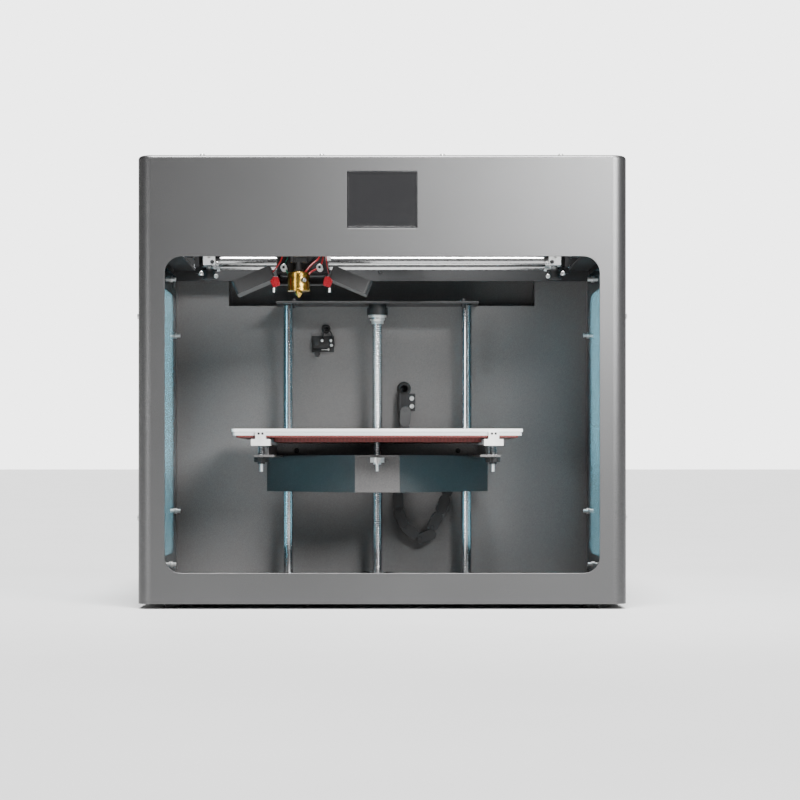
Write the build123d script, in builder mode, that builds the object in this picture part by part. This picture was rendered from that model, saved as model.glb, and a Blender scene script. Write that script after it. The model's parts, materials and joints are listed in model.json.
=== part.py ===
from build123d import *
import math
import os

os.makedirs("parts", exist_ok=True)

# Desktop filament printer, open at the front and the top.
# Frame: X to the right seen from the front, Y to the back, Z up, millimetres.
# The origin is the centre of the bounding box on the table plane.

# ---- driving dimensions: casing ----
WIDTH = 412.6
FRONT_Y = -190.0
REAR_Y = 187.0
FOOT_H = 4.0
TOP_Z = 382.0
SHEET = 2.0
CORNER_R = 12.0
TOP_BEND_R = 3.0
TOP_RIM = 18.0
REAR_RIM = 18.0
DOOR_HALF_W = 183.0
DOOR_Z0, DOOR_Z1 = 30.0, 296.6
DOOR_R = 14.0
SCREEN_W, SCREEN_H, SCREEN_Z = 58.8, 47.5, 344.3
WINDOW_Y0, WINDOW_Y1 = -170.0, 97.0
WINDOW_Z0, WINDOW_Z1 = 36.0, 285.0
PANE_Y0, PANE_Y1 = -177.0, 112.0
PANE_Z0, PANE_Z1 = 18.0, 305.0
WINDOW_T = 3.0
WINDOW_SCREWS = [(105.0, 247.0), (105.0, 76.0), (60.0, 298.0), (60.0, 26.0)]
WINDOW_SCREWS += [(-100.0, 298.0), (-100.0, 26.0), (-173.5, 247.0), (-173.5, 76.0)]
M3_R, M3_HOLE = 1.5, 1.7
TOP_SCREW_X = (-152.0, -51.0, 51.0, 151.0)
REAR_SCREWS = [(x, z) for x in (-192.5, 192.5) for z in (30.0, 140.0, 250.0, 352.0)]
REAR_SCREWS += [(x, z) for x in (-100.0, 0.0, 100.0) for z in (13.0, 373.0)]
WALL_Y = 132.0
WALL_Z0, WALL_Z1 = 6.2, 352.0
RECESS_HALF_W, RECESS_Z0, RECESS_Z1 = 151.0, 277.7, 332.0

# ---- driving dimensions: vertical (Z) drive ----
Z_X = -4.3
Z_Y = 100.0
Z_ROD_R = 5.0
Z_ROD_SPREAD = 86.7
Z_ROD_TOP = 276.8
Z_PLATE_Z = 277.0
SCREW_R = 4.0
THREAD_R = 4.55
THREAD_TIP_R = 5.0
THREAD_Z0, THREAD_Z1 = 17.0, 257.0
Z_MOTOR_Y = 159.0
BELT_W = 6.0
PULLEY_R = 6.37
PULLEY_FLANGE_R = 8.0
Z_BELT_Z = 7.6

# ---- driving dimensions: bed and its carriage ----
BED_W, BED_D = 258.0, 184.0
BED_FRONT = -95.0
BED_Z = 145.4
HEATER_T, PLATE_T, GLASS_T = 1.6, 3.0, 3.0
CARRIAGE_Z = 128.0
CARRIAGE_LOW = 95.5
NOSE_Y = -15.0
ARM_X = 98.0
EAR_X = 103.0

# ---- driving dimensions: gantry and print head ----
X_ROD_R = 4.0
X_ROD_Z = 302.0
X_ROD_Y = (-90.0, -42.0)
BLOCK_X0, BLOCK_X1 = 147.5, 158.0
Y_ROD_X, Y_ROD_Z, Y_ROD_R = 170.0, 312.0, 4.0
Y_ROD_Y0, Y_ROD_Y1 = -181.0, 98.0
Y_SHAFT_Y, Y_SHAFT_Z = 77.0, 345.0
Y_IDLER_Y = -172.0
Y_BELT_X = 191.0
SHELF_X, SHELF_Z = 181.0, 309.4
CROSS_Z0, CROSS_Z1 = 299.6, 352.0
HEAD_X = -69.5
HOTEND_X, HOTEND_Y = -72.2, -134.5
MOTOR_W = 42.3
MOTOR_HOLES = 31.0
HEAD_MOTOR_Z = 307.0
HEAD_MOTOR_FACE = -123.0
HEAD_MOTOR_L = 24.0
CLEAR = 0.3
RUN = 0.06


def save(builder, name):
    """Labels a finished piece and writes its file."""
    builder.part.label = name
    export_step(builder.part, f"parts/{name}.step")


def slab(x0, x1, y0, y1, z0, z1, mode=Mode.ADD):
    """A block between two corners, inside the builder in use."""
    with Locations(((x0 + x1) / 2, (y0 + y1) / 2, (z0 + z1) / 2)):
        Box(abs(x1 - x0), abs(y1 - y0), abs(z1 - z0), mode=mode)


def rod_z(x, y, r, z0, z1, mode=Mode.ADD):
    """A round bar along Z."""
    with Locations((x, y, (z0 + z1) / 2)):
        Cylinder(r, z1 - z0, mode=mode)


def rod_x(x0, x1, y, z, r, mode=Mode.ADD):
    """A round bar along X."""
    with Locations(Location(((x0 + x1) / 2, y, z), (0, 90, 0))):
        Cylinder(r, abs(x1 - x0), mode=mode)


def rod_y(x, y0, y1, z, r, mode=Mode.ADD):
    """A round bar along Y."""
    with Locations(Location((x, (y0 + y1) / 2, z), (90, 0, 0))):
        Cylinder(r, y1 - y0, mode=mode)


# ================= casing =================
MID_Y = (FRONT_Y + REAR_Y) / 2
DEPTH = REAR_Y - FRONT_Y

with BuildPart() as housing_shell:
    with BuildSketch(Plane((0, MID_Y, FOOT_H))):
        RectangleRounded(WIDTH, DEPTH, CORNER_R)
    extrude(amount=TOP_Z - FOOT_H)
    fillet(faces().sort_by(Axis.Z)[-1].edges(), TOP_BEND_R)
    with BuildSketch(Plane((0, MID_Y, FOOT_H))):
        RectangleRounded(WIDTH - 2 * SHEET, DEPTH - 2 * SHEET, CORNER_R - SHEET)
    extrude(amount=TOP_Z - SHEET - FOOT_H, mode=Mode.SUBTRACT)
    with BuildSketch(Plane((0, MID_Y, TOP_Z))):
        RectangleRounded(WIDTH - 2 * TOP_RIM, DEPTH - 2 * TOP_RIM, CORNER_R)
    extrude(amount=-2 * SHEET, mode=Mode.SUBTRACT)
    with BuildSketch(Plane((0, FRONT_Y, (DOOR_Z0 + DOOR_Z1) / 2), x_dir=(1, 0, 0), z_dir=(0, -1, 0))):
        RectangleRounded(2 * DOOR_HALF_W, DOOR_Z1 - DOOR_Z0, DOOR_R)
    extrude(amount=-2 * SHEET, mode=Mode.SUBTRACT)
    with BuildSketch(Plane((0, FRONT_Y, SCREEN_Z), x_dir=(1, 0, 0), z_dir=(0, -1, 0))):
        Rectangle(SCREEN_W + 2 * CLEAR, SCREEN_H + 2 * CLEAR)
    extrude(amount=-2 * SHEET, mode=Mode.SUBTRACT)
    with BuildSketch(Plane((0, REAR_Y, (FOOT_H + TOP_Z) / 2), x_dir=(-1, 0, 0), z_dir=(0, 1, 0))):
        RectangleRounded(WIDTH - 2 * REAR_RIM, TOP_Z - FOOT_H - 2 * REAR_RIM, CORNER_R / 2)
    extrude(amount=-2 * SHEET, mode=Mode.SUBTRACT)
    for side in (-1, 1):
        window_mid = (side * WIDTH / 2, (WINDOW_Y0 + WINDOW_Y1) / 2, (WINDOW_Z0 + WINDOW_Z1) / 2)
        with BuildSketch(Plane(window_mid, x_dir=(0, 1, 0), z_dir=(side, 0, 0))):
            RectangleRounded(WINDOW_Y1 - WINDOW_Y0, WINDOW_Z1 - WINDOW_Z0, CORNER_R)
        extrude(amount=-2 * SHEET, mode=Mode.SUBTRACT)
    for hole_y, hole_z in WINDOW_SCREWS:
        rod_x(-WIDTH, WIDTH, hole_y, hole_z, M3_HOLE, Mode.SUBTRACT)
    for hole_x in TOP_SCREW_X:
        for hole_y in (FRONT_Y + 10.0, REAR_Y - 10.0):
            rod_z(hole_x, hole_y, M3_HOLE, TOP_Z - 2 * SHEET, TOP_Z + SHEET, Mode.SUBTRACT)
    for hole_x, hole_z in REAR_SCREWS:
        rod_y(hole_x, REAR_Y - 2 * SHEET, REAR_Y + SHEET, hole_z, M3_HOLE, Mode.SUBTRACT)
save(housing_shell, "housing_shell")

# Rear panel, inside the rear rim: fan grille, mains inlet, vents, spool bracket holes.
PANEL_T = 2.0
PANEL_Y0 = REAR_Y - SHEET - PANEL_T
PANEL_HALF_W = WIDTH / 2 - 12.3
PANEL_Z0, PANEL_Z1 = FOOT_H + SHEET + 0.6, TOP_Z - SHEET - 1.0
REAR_PLANE = Plane((0, REAR_Y - SHEET, 0), x_dir=(-1, 0, 0), z_dir=(0, 1, 0))
FAN_X, FAN_Z, FAN_W, FAN_T = 120.0, 190.0, 60.0, 15.0
INLET_X, INLET_Z, INLET_W, INLET_H = -120.0, 54.0, 27.0, 48.0
SPOOL_X, SPOOL_Z, SPOOL_PITCH, SPOOL_R = 0.0, 300.0, 40.0, 2.2

with BuildPart() as rear_panel:
    slab(-PANEL_HALF_W, PANEL_HALF_W, PANEL_Y0, PANEL_Y0 + PANEL_T, PANEL_Z0, PANEL_Z1)
    fillet(edges().filter_by(Axis.Y), CORNER_R - SHEET)
    with BuildSketch(REAR_PLANE):
        with Locations((-INLET_X, INLET_Z)):
            Rectangle(INLET_W, INLET_H)
        with Locations((-SPOOL_X, SPOOL_Z)):
            with GridLocations(0, SPOOL_PITCH, 1, 2):
                Circle(SPOOL_R)
        with Locations((-FAN_X, FAN_Z)):
            for ring in range(3):
                with PolarLocations(10.0 + 7.5 * ring, 6 + 4 * ring, 20.0 * ring):
                    RectangleRounded(3.4, 5.4, 1.6)
        for column in range(2):
            with Locations((70.0 - 140.0 * column, 110.0)):
                with GridLocations(0, 9.0, 1, 7):
                    SlotOverall(46.0, 3.6)
    extrude(amount=-2 * PANEL_T, mode=Mode.SUBTRACT)
save(rear_panel, "rear_panel")

# Base plate with vents; it closes the bottom and carries the feet.
BASE_TOP = FOOT_H + SHEET
with BuildPart() as base_plate:
    with BuildSketch(Plane((0, MID_Y, FOOT_H))):
        RectangleRounded(WIDTH - 2 * SHEET - 0.6, DEPTH - 2 * SHEET - 0.6, CORNER_R - SHEET)
    extrude(amount=SHEET)
    with BuildSketch(Plane((0, WALL_Y + 28.0, FOOT_H))):
        for column in range(2):
            with Locations((-110.0 + 220.0 * column, 0)):
                with GridLocations(9.0, 0, 9, 1):
                    SlotOverall(26.0, 3.6, rotation=90)
    extrude(amount=SHEET, mode=Mode.SUBTRACT)
    for side in (-1, 1):
        edge = side * (WIDTH / 2 - SHEET - 1.2)
        with Locations((edge, -20.0, FOOT_H + 6.0)):
            Box(1.5, 280.0, 12.0)
    rod_z(Z_X, Z_Y, 7.0, FOOT_H - 1, BASE_TOP + 1, Mode.SUBTRACT)
save(base_plate, "base_plate")

# Inner back wall with the wide recess behind the top plate.
CHAIN_HOLE_X, CHAIN_HOLE_Z = 22.0, 196.0
SENSOR_HOLE_X, SENSOR_HOLE_Z = -55.0, 255.0
WALL_HALF_W = WIDTH / 2 - SHEET - 0.4
RECESS_BACK = 30.0
with BuildPart() as inner_back_wall:
    slab(-WALL_HALF_W, WALL_HALF_W, WALL_Y, WALL_Y + SHEET, WALL_Z0, WALL_Z1)
    slab(-RECESS_HALF_W, RECESS_HALF_W, WALL_Y - 1, WALL_Y + 3, RECESS_Z0, RECESS_Z1, Mode.SUBTRACT)
    for side in (-1, 1):
        slab(side * WALL_HALF_W, side * (WALL_HALF_W - SHEET), WALL_Y - 12, WALL_Y, WALL_Z0 + 12,
             WALL_Z1)
    slab(Z_X - 16, Z_X + 16, WALL_Y - 1, WALL_Y + 3, WALL_Z0 - 1, 15.2, Mode.SUBTRACT)
    rod_y(CHAIN_HOLE_X, WALL_Y - 1, WALL_Y + 3, CHAIN_HOLE_Z, 6.0, Mode.SUBTRACT)
    rod_y(SENSOR_HOLE_X, WALL_Y - 1, WALL_Y + 3, SENSOR_HOLE_Z, 3.6, Mode.SUBTRACT)
    slab(-RECESS_HALF_W - 2, RECESS_HALF_W + 2, WALL_Y + RECESS_BACK, WALL_Y + RECESS_BACK + 1.5,
         RECESS_Z0 - 2, RECESS_Z1 + 2)
    slab(-RECESS_HALF_W - 2, RECESS_HALF_W + 2, WALL_Y + 1, WALL_Y + RECESS_BACK + 1, RECESS_Z0 - 2,
         RECESS_Z0)
    slab(-RECESS_HALF_W - 2, RECESS_HALF_W + 2, WALL_Y + 1, WALL_Y + RECESS_BACK + 1, RECESS_Z1,
         RECESS_Z1 + 2)
    for side in (-1, 1):
        edge = side * (RECESS_HALF_W + 1)
        slab(edge - 1, edge + 1, WALL_Y + 1, WALL_Y + RECESS_BACK + 1, RECESS_Z0 - 2, RECESS_Z1 + 2)
save(inner_back_wall, "inner_back_wall")

FOOT_R = 7.5
FOOT_X = 177.5
with BuildPart() as rubber_feet:
    for foot_x in (-FOOT_X, FOOT_X):
        for foot_y in (-170.0, 150.0):
            with Locations((foot_x, foot_y, 0)):
                Cone(FOOT_R - 1.0, FOOT_R, FOOT_H, align=(Align.CENTER, Align.CENTER, Align.MIN))
save(rubber_feet, "rubber_feet")

# Side windows: clear sheets screwed to the inside of the side walls.
INNER_X = WIDTH / 2 - SHEET


def side_window(side):
    """One acrylic sheet behind a side opening, with its screw holes."""
    x = side * (INNER_X - WINDOW_T / 2)
    with BuildPart() as pane:
        slab(x - WINDOW_T / 2, x + WINDOW_T / 2, PANE_Y0, PANE_Y1, PANE_Z0, PANE_Z1)
        fillet(edges().filter_by(Axis.X), CORNER_R / 2)
        for hole_y, hole_z in WINDOW_SCREWS:
            rod_x(x - WINDOW_T, x + WINDOW_T, hole_y, hole_z, M3_HOLE, Mode.SUBTRACT)
    return pane


with BuildPart() as side_windows:
    for side in (-1, 1):
        add(side_window(side).part)
save(side_windows, "side_windows")


# ================= screens, screws, electronics =================
SCREEN_BACK = FRONT_Y + SHEET
BOARD_Y = SCREEN_BACK + 5.0
with BuildPart() as touch_screen:
    slab(-SCREEN_W / 2, SCREEN_W / 2, FRONT_Y + 0.4, SCREEN_BACK + 3.0, SCREEN_Z - SCREEN_H / 2,
         SCREEN_Z + SCREEN_H / 2)
    slab(-SCREEN_W / 2 - 5, SCREEN_W / 2 + 5, SCREEN_BACK, SCREEN_BACK + 3.0,
         SCREEN_Z - SCREEN_H / 2 - 4, SCREEN_Z + SCREEN_H / 2 + 4)
    slab(-40, 40, BOARD_Y, BOARD_Y + 1.6, SCREEN_Z - 29, SCREEN_Z + 29)
    with BuildSketch(Plane((0, BOARD_Y + 1.6, SCREEN_Z), x_dir=(1, 0, 0), z_dir=(0, -1, 0))):
        with GridLocations(72.0, 50.0, 2, 2):
            Circle(1.6)
    extrude(amount=-4.0, both=True, mode=Mode.SUBTRACT)
    with BuildSketch(Plane((0, SCREEN_BACK + 3.0, SCREEN_Z), x_dir=(-1, 0, 0), z_dir=(0, 1, 0))):
        with GridLocations(60.0, 50.0, 2, 2):
            Circle(2.2)
    extrude(amount=2.0)
    slab(-14, 14, BOARD_Y + 1.6, BOARD_Y + 8.6, SCREEN_Z + 12, SCREEN_Z + 24)
    slab(-24, -8, BOARD_Y + 1.6, BOARD_Y + 3.0, SCREEN_Z - 14, SCREEN_Z + 2)
    slab(4, 20, BOARD_Y + 1.6, BOARD_Y + 4.6, SCREEN_Z - 22, SCREEN_Z - 8)
save(touch_screen, "touch_screen")


def dome_screw(origin, direction, head_r, head_h, length):
    """A dome-head screw whose head stands along direction from origin."""
    with BuildSketch(Plane(origin, z_dir=direction)) as head:
        Circle(head_r)
    extrude(head.sketch, amount=head_h, taper=25)
    with BuildSketch(Plane(origin, z_dir=direction)) as shank:
        Circle(M3_R)
    extrude(shank.sketch, amount=-length)


DOME_H = 1.4
with BuildPart() as panel_screws:
    for side in (-1, 1):
        for hole_y, hole_z in WINDOW_SCREWS:
            dome_screw((side * WIDTH / 2, hole_y, hole_z), (side, 0, 0), 2.8, DOME_H,
                       SHEET + WINDOW_T + 1.0)
            nut_x = side * (INNER_X - WINDOW_T)
            with BuildSketch(Plane((nut_x, hole_y, hole_z), z_dir=(-side, 0, 0))):
                Circle(2.9)
            extrude(amount=1.6)
            with BuildSketch(Plane((nut_x - side * 1.6, hole_y, hole_z), z_dir=(-side, 0, 0))):
                Circle(2.0)
            extrude(amount=3.2)
    for hole_x in TOP_SCREW_X:
        for hole_y in (FRONT_Y + 10.0, REAR_Y - 10.0):
            dome_screw((hole_x, hole_y, TOP_Z), (0, 0, 1), 2.8, 2.0, 8.0)
    for hole_x, hole_z in REAR_SCREWS:
        dome_screw((hole_x, REAR_Y, hole_z), (0, 1, 0), 2.8, 1.6, 2.0)
save(panel_screws, "panel_screws")

BAY_Y0 = WALL_Y + SHEET
PSU = (-190.0, -75.0, BAY_Y0 + 1.0, PANEL_Y0 - 9.0, 90.0, 248.0)
with BuildPart() as power_supply:
    slab(*PSU)
    fillet(edges().filter_by(Axis.Z), 1.0)
    with BuildSketch(Plane((-132.5, PSU[3], 169.0), x_dir=(-1, 0, 0), z_dir=(0, 1, 0))):
        with GridLocations(9.0, 9.0, 9, 9):
            RegularPolygon(3.2, 6)
    extrude(amount=-1.2, mode=Mode.SUBTRACT)
    slab(-184, -81, PSU[2] + 4, PSU[3] - 8, PSU[4] - 8, PSU[4])
    for terminal in range(7):
        rod_y(-176.0 + 14.0 * terminal, PSU[3] - 8, PSU[3] - 5, PSU[4] - 4, 3.0)
save(power_supply, "power_supply")

BOARD_Z0, BOARD_Z1 = 60.0, 160.0
with BuildPart() as main_board:
    slab(20, 140, BAY_Y0 + 6, BAY_Y0 + 7.6, BOARD_Z0, BOARD_Z1)
    for post_x in (26.0, 134.0):
        for post_z in (BOARD_Z0 + 6, BOARD_Z1 - 6):
            rod_y(post_x, BAY_Y0, BAY_Y0 + 10, post_z, 3.0)
    for driver in range(4):
        slab(34 + 24 * driver, 50 + 24 * driver, BAY_Y0 + 7.6, BAY_Y0 + 19, 124, 140)
    for plug in range(7):
        slab(30 + 15 * plug, 40 + 15 * plug, BAY_Y0 + 7.6, BAY_Y0 + 16, 146, 153)
    slab(60, 84, BAY_Y0 + 7.6, BAY_Y0 + 10, 88, 112)
    slab(100, 128, BAY_Y0 + 7.6, BAY_Y0 + 18, 66, 84)
save(main_board, "main_board")

# Mains inlet with an earthed socket below and a rocker switch above.
ROCKER_Z = INLET_Z + 14.0
SOCKET_Z = INLET_Z - 9.0
with BuildPart() as power_inlet:
    slab(INLET_X - INLET_W / 2 + 0.2, INLET_X + INLET_W / 2 - 0.2, PANEL_Y0 - 24, REAR_Y - SHEET,
         INLET_Z - INLET_H / 2 + 0.2, INLET_Z + INLET_H / 2 - 0.2)
    slab(INLET_X - INLET_W / 2 - 3, INLET_X + INLET_W / 2 + 3, REAR_Y - SHEET, REAR_Y,
         INLET_Z - INLET_H / 2 - 3, INLET_Z + INLET_H / 2 + 3)
    fillet(edges().filter_by(Axis.Y).group_by(SortBy.LENGTH)[0], 1.0)
    with BuildSketch(Plane((INLET_X, REAR_Y, SOCKET_Z), x_dir=(-1, 0, 0), z_dir=(0, 1, 0))):
        Rectangle(22.0, 17.0)
        Rectangle(10.0, 4.0, mode=Mode.SUBTRACT)
    extrude(amount=-18.0, mode=Mode.SUBTRACT)
    for pin_x, pin_z in ((-7.0, 4.0), (7.0, 4.0), (0.0, -5.0)):
        slab(INLET_X + pin_x - 1.0, INLET_X + pin_x + 1.0, REAR_Y - 18.5, REAR_Y - 4,
             SOCKET_Z + pin_z - 2, SOCKET_Z + pin_z + 2)
    slab(INLET_X - 10, INLET_X + 10, REAR_Y - 16, REAR_Y + 1, ROCKER_Z - 6.5, ROCKER_Z + 6.5,
         Mode.SUBTRACT)
save(power_inlet, "power_inlet")

ROCKER_Y = REAR_Y - 6.0
with BuildPart() as power_rocker:
    with BuildSketch(Plane((INLET_X, 0, 0), x_dir=(0, 1, 0), z_dir=(1, 0, 0))):
        with BuildLine():
            Polyline((ROCKER_Y - 4, ROCKER_Z - 4), (ROCKER_Y + 7.6, ROCKER_Z - 5.2), (ROCKER_Y + 5.0,
                                                                                      ROCKER_Z),
                     (ROCKER_Y + 5.2, ROCKER_Z + 5.2), (ROCKER_Y - 4, ROCKER_Z + 4), close=True)
        make_face()
    extrude(amount=9.0, both=True)
    rod_x(INLET_X - 9.9, INLET_X + 9.9, ROCKER_Y, ROCKER_Z, 1.2)
save(power_rocker, "power_rocker")

# Bay fan, screwed to the rear panel.
FAN_Y1 = PANEL_Y0
with BuildPart() as rear_fan_frame:
    with BuildSketch(Plane((FAN_X, FAN_Y1, FAN_Z), x_dir=(1, 0, 0), z_dir=(0, -1, 0))):
        RectangleRounded(FAN_W, FAN_W, 4.0)
        Circle(FAN_W / 2 - 1.6, mode=Mode.SUBTRACT)
        with GridLocations(50.0, 50.0, 2, 2):
            Circle(2.1, mode=Mode.SUBTRACT)
    extrude(amount=FAN_T)
    with BuildSketch(Plane((FAN_X, FAN_Y1 - FAN_T + 2.0, FAN_Z), x_dir=(1, 0, 0), z_dir=(0, -1, 0))):
        Circle(12.0)
        with PolarLocations(20.0, 4, 45):
            Rectangle(24.0, 3.0)
    extrude(amount=2.0)
    rod_y(FAN_X, FAN_Y1 - FAN_T + 1.0, FAN_Y1 - 5.0, FAN_Z, 1.5)
save(rear_fan_frame, "rear_fan_frame")


def fan_rotor(plane, hub_r, tip_r, height, blades, bore_r):
    """A hub with slanted blades, its axis along the plane's normal."""
    with BuildPart() as rotor:
        with BuildSketch(plane):
            Circle(hub_r)
        extrude(amount=height)
        with BuildSketch(plane):
            with PolarLocations((hub_r + tip_r) / 2 - 0.5, blades):
                Rectangle(tip_r - hub_r + 1.0, 1.2, rotation=12)
        extrude(amount=height - 1.0)
        with BuildSketch(plane):
            Circle(bore_r)
        extrude(amount=height, mode=Mode.SUBTRACT)
    return rotor


ROTOR_PLANE = Plane((FAN_X, FAN_Y1 - FAN_T + 3.0, FAN_Z), x_dir=(-1, 0, 0), z_dir=(0, 1, 0))
save(fan_rotor(ROTOR_PLANE, 12.0, FAN_W / 2 - 2.6, 9.0, 7, 1.5 + RUN), "rear_fan_rotor")


# ================= upper frame: shelves, crossmember, Y rods and belts =================
with BuildPart() as xy_frame:
    for side in (-1, 1):
        x_wall = side * (INNER_X - WINDOW_T - 0.5)
        shelf_mid = (x_wall + side * SHELF_X) / 2
        with Locations((shelf_mid, (Y_ROD_Y0 + Z_Y) / 2, SHELF_Z + 1.0)):
            Box(abs(x_wall - side * SHELF_X), Z_Y - Y_ROD_Y0, 2.0)
        with Locations((x_wall - side * 0.75, (Y_ROD_Y0 + Z_Y) / 2, SHELF_Z + 16.0)):
            Box(1.5, Z_Y - Y_ROD_Y0, 32.0)
    slab(-INNER_X + 3.5, INNER_X - 3.5, Z_Y, Z_Y + 2.0, CROSS_Z0, CROSS_Z1)
    slab(-INNER_X + 3.5, INNER_X - 3.5, Z_Y + 2.0, WALL_Y - 0.1, CROSS_Z1 - 2.0, CROSS_Z1)
    for side in (-1, 1):
        rod_y(side * Y_ROD_X, Z_Y - 1, Z_Y + 3, Y_ROD_Z, 4.3, Mode.SUBTRACT)
save(xy_frame, "xy_frame")

with BuildPart() as y_rods:
    for side in (-1, 1):
        rod_y(side * Y_ROD_X, Y_ROD_Y0, Y_ROD_Y1 + 6.0, Y_ROD_Z, Y_ROD_R)
save(y_rods, "y_rods")

CLAMP_Y = ((Y_ROD_Y0, Y_ROD_Y0 + 8.0), (Z_Y - 8.0, Z_Y))


def pulley(plane, width, bore_r):
    """A flanged belt pulley whose axis is the plane's normal, centred on the plane."""
    with BuildPart() as wheel:
        with BuildSketch(plane.offset(-width / 2)):
            Circle(PULLEY_R)
            with PolarLocations(PULLEY_R, 20):
                Circle(0.5, mode=Mode.SUBTRACT)
        extrude(amount=width)
        for face_offset in (-width / 2 - 1.0, width / 2):
            with BuildSketch(plane.offset(face_offset)):
                Circle(PULLEY_FLANGE_R)
            extrude(amount=1.0)
        with BuildSketch(plane.offset(-width / 2 - 1.0)):
            Circle(bore_r)
        extrude(amount=width + 2.0, mode=Mode.SUBTRACT)
    return wheel


def belt(plane, span, width, thickness=1.4):
    """A closed belt round two equal pulleys; span runs along the plane's x direction."""
    inner_r = PULLEY_R + 0.15
    with BuildPart() as loop:
        with BuildSketch(plane.offset(-width / 2)):
            with Locations((span / 2, 0)):
                SlotCenterToCenter(span, 2 * (inner_r + thickness))
                SlotCenterToCenter(span, 2 * inner_r, mode=Mode.SUBTRACT)
        extrude(amount=width)
    return loop


BELT_LIP = 0.6

SHAFT_R = 2.5
with BuildPart() as y_drive_shaft:
    rod_x(-INNER_X + 8, INNER_X - 8, Y_SHAFT_Y, Y_SHAFT_Z, SHAFT_R)
    for side in (-1, 1):
        wheel_plane = Plane((side * Y_BELT_X, Y_SHAFT_Y, Y_SHAFT_Z), x_dir=(0, 1, 0), z_dir=(1, 0, 0))
        add(pulley(wheel_plane, BELT_W, SHAFT_R - 0.01).part)
        rod_x(side * Y_BELT_X - side * 10 - 2, side * Y_BELT_X - side * 10 + 2, Y_SHAFT_Y, Y_SHAFT_Z,
              5.0)
save(y_drive_shaft, "y_drive_shaft")

IDLER_PIN_R = 1.5
with BuildPart() as y_idlers:
    for side in (-1, 1):
        wheel_plane = Plane((side * Y_BELT_X, Y_IDLER_Y, Y_SHAFT_Z), x_dir=(0, 1, 0), z_dir=(1, 0, 0))
        add(pulley(wheel_plane, BELT_W, IDLER_PIN_R + RUN).part)
save(y_idlers, "y_idlers")


def stepper(plane, length, shaft_length, shaft_r=2.5):
    """A square stepper motor: face on the plane, shaft along its normal."""
    with BuildPart() as motor:
        with BuildSketch(plane):
            RectangleRounded(MOTOR_W, MOTOR_W, 4.0)
        extrude(amount=-length)
        with BuildSketch(plane.offset(-8.0)):
            RectangleRounded(MOTOR_W + 1, MOTOR_W + 1, 4.0)
            RectangleRounded(MOTOR_W - 1.6, MOTOR_W - 1.6, 6.0, mode=Mode.SUBTRACT)
        extrude(amount=-(length - 16.0), mode=Mode.SUBTRACT)
        with BuildSketch(plane):
            Circle(11.0)
        extrude(amount=2.0)
        with BuildSketch(plane.offset(2.0)):
            Circle(shaft_r)
        extrude(amount=shaft_length - 2.0)
    return motor


Y_MOTOR_X, Y_MOTOR_L = 40.0, 38.0


# ================= vertical drive =================
Z_ROD_X = (Z_X - Z_ROD_SPREAD, Z_X + Z_ROD_SPREAD)
with BuildPart() as z_rods:
    for rod_at in Z_ROD_X:
        rod_z(rod_at, Z_Y, Z_ROD_R, BASE_TOP, Z_ROD_TOP)
        chamfer(edges().group_by(Axis.Z)[-1].filter_by(GeomType.CIRCLE), 0.6)
save(z_rods, "z_rods")

with BuildPart() as z_top_plate:
    slab(Z_X - 98, Z_X + 98, Z_Y - 15, WALL_Y, Z_PLATE_Z, Z_PLATE_Z + 2.0)
    slab(Z_X - 98, Z_X + 98, WALL_Y + SHEET, WALL_Y + SHEET + 2.0, Z_PLATE_Z - 26, RECESS_Z0 - 2.2)
    slab(Z_X - 98, Z_X + 98, WALL_Y, WALL_Y + 4.0, RECESS_Z0, Z_PLATE_Z + 2.0)
    for screw_x in (-84.8, 79.4):
        rod_z(screw_x, Z_Y - 9, 1.5, Z_PLATE_Z - 4.5, Z_PLATE_Z + 5.0)
        rod_z(screw_x, Z_Y - 9, 2.6, Z_PLATE_Z + 2.0, Z_PLATE_Z + 3.8)
        rod_z(screw_x, Z_Y - 9, 2.4, Z_PLATE_Z - 1.6, Z_PLATE_Z)
    rod_z(Z_X, Z_Y, SCREW_R + 1.0, Z_PLATE_Z - 1, Z_PLATE_Z + 3, Mode.SUBTRACT)
save(z_top_plate, "z_top_plate")

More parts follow.
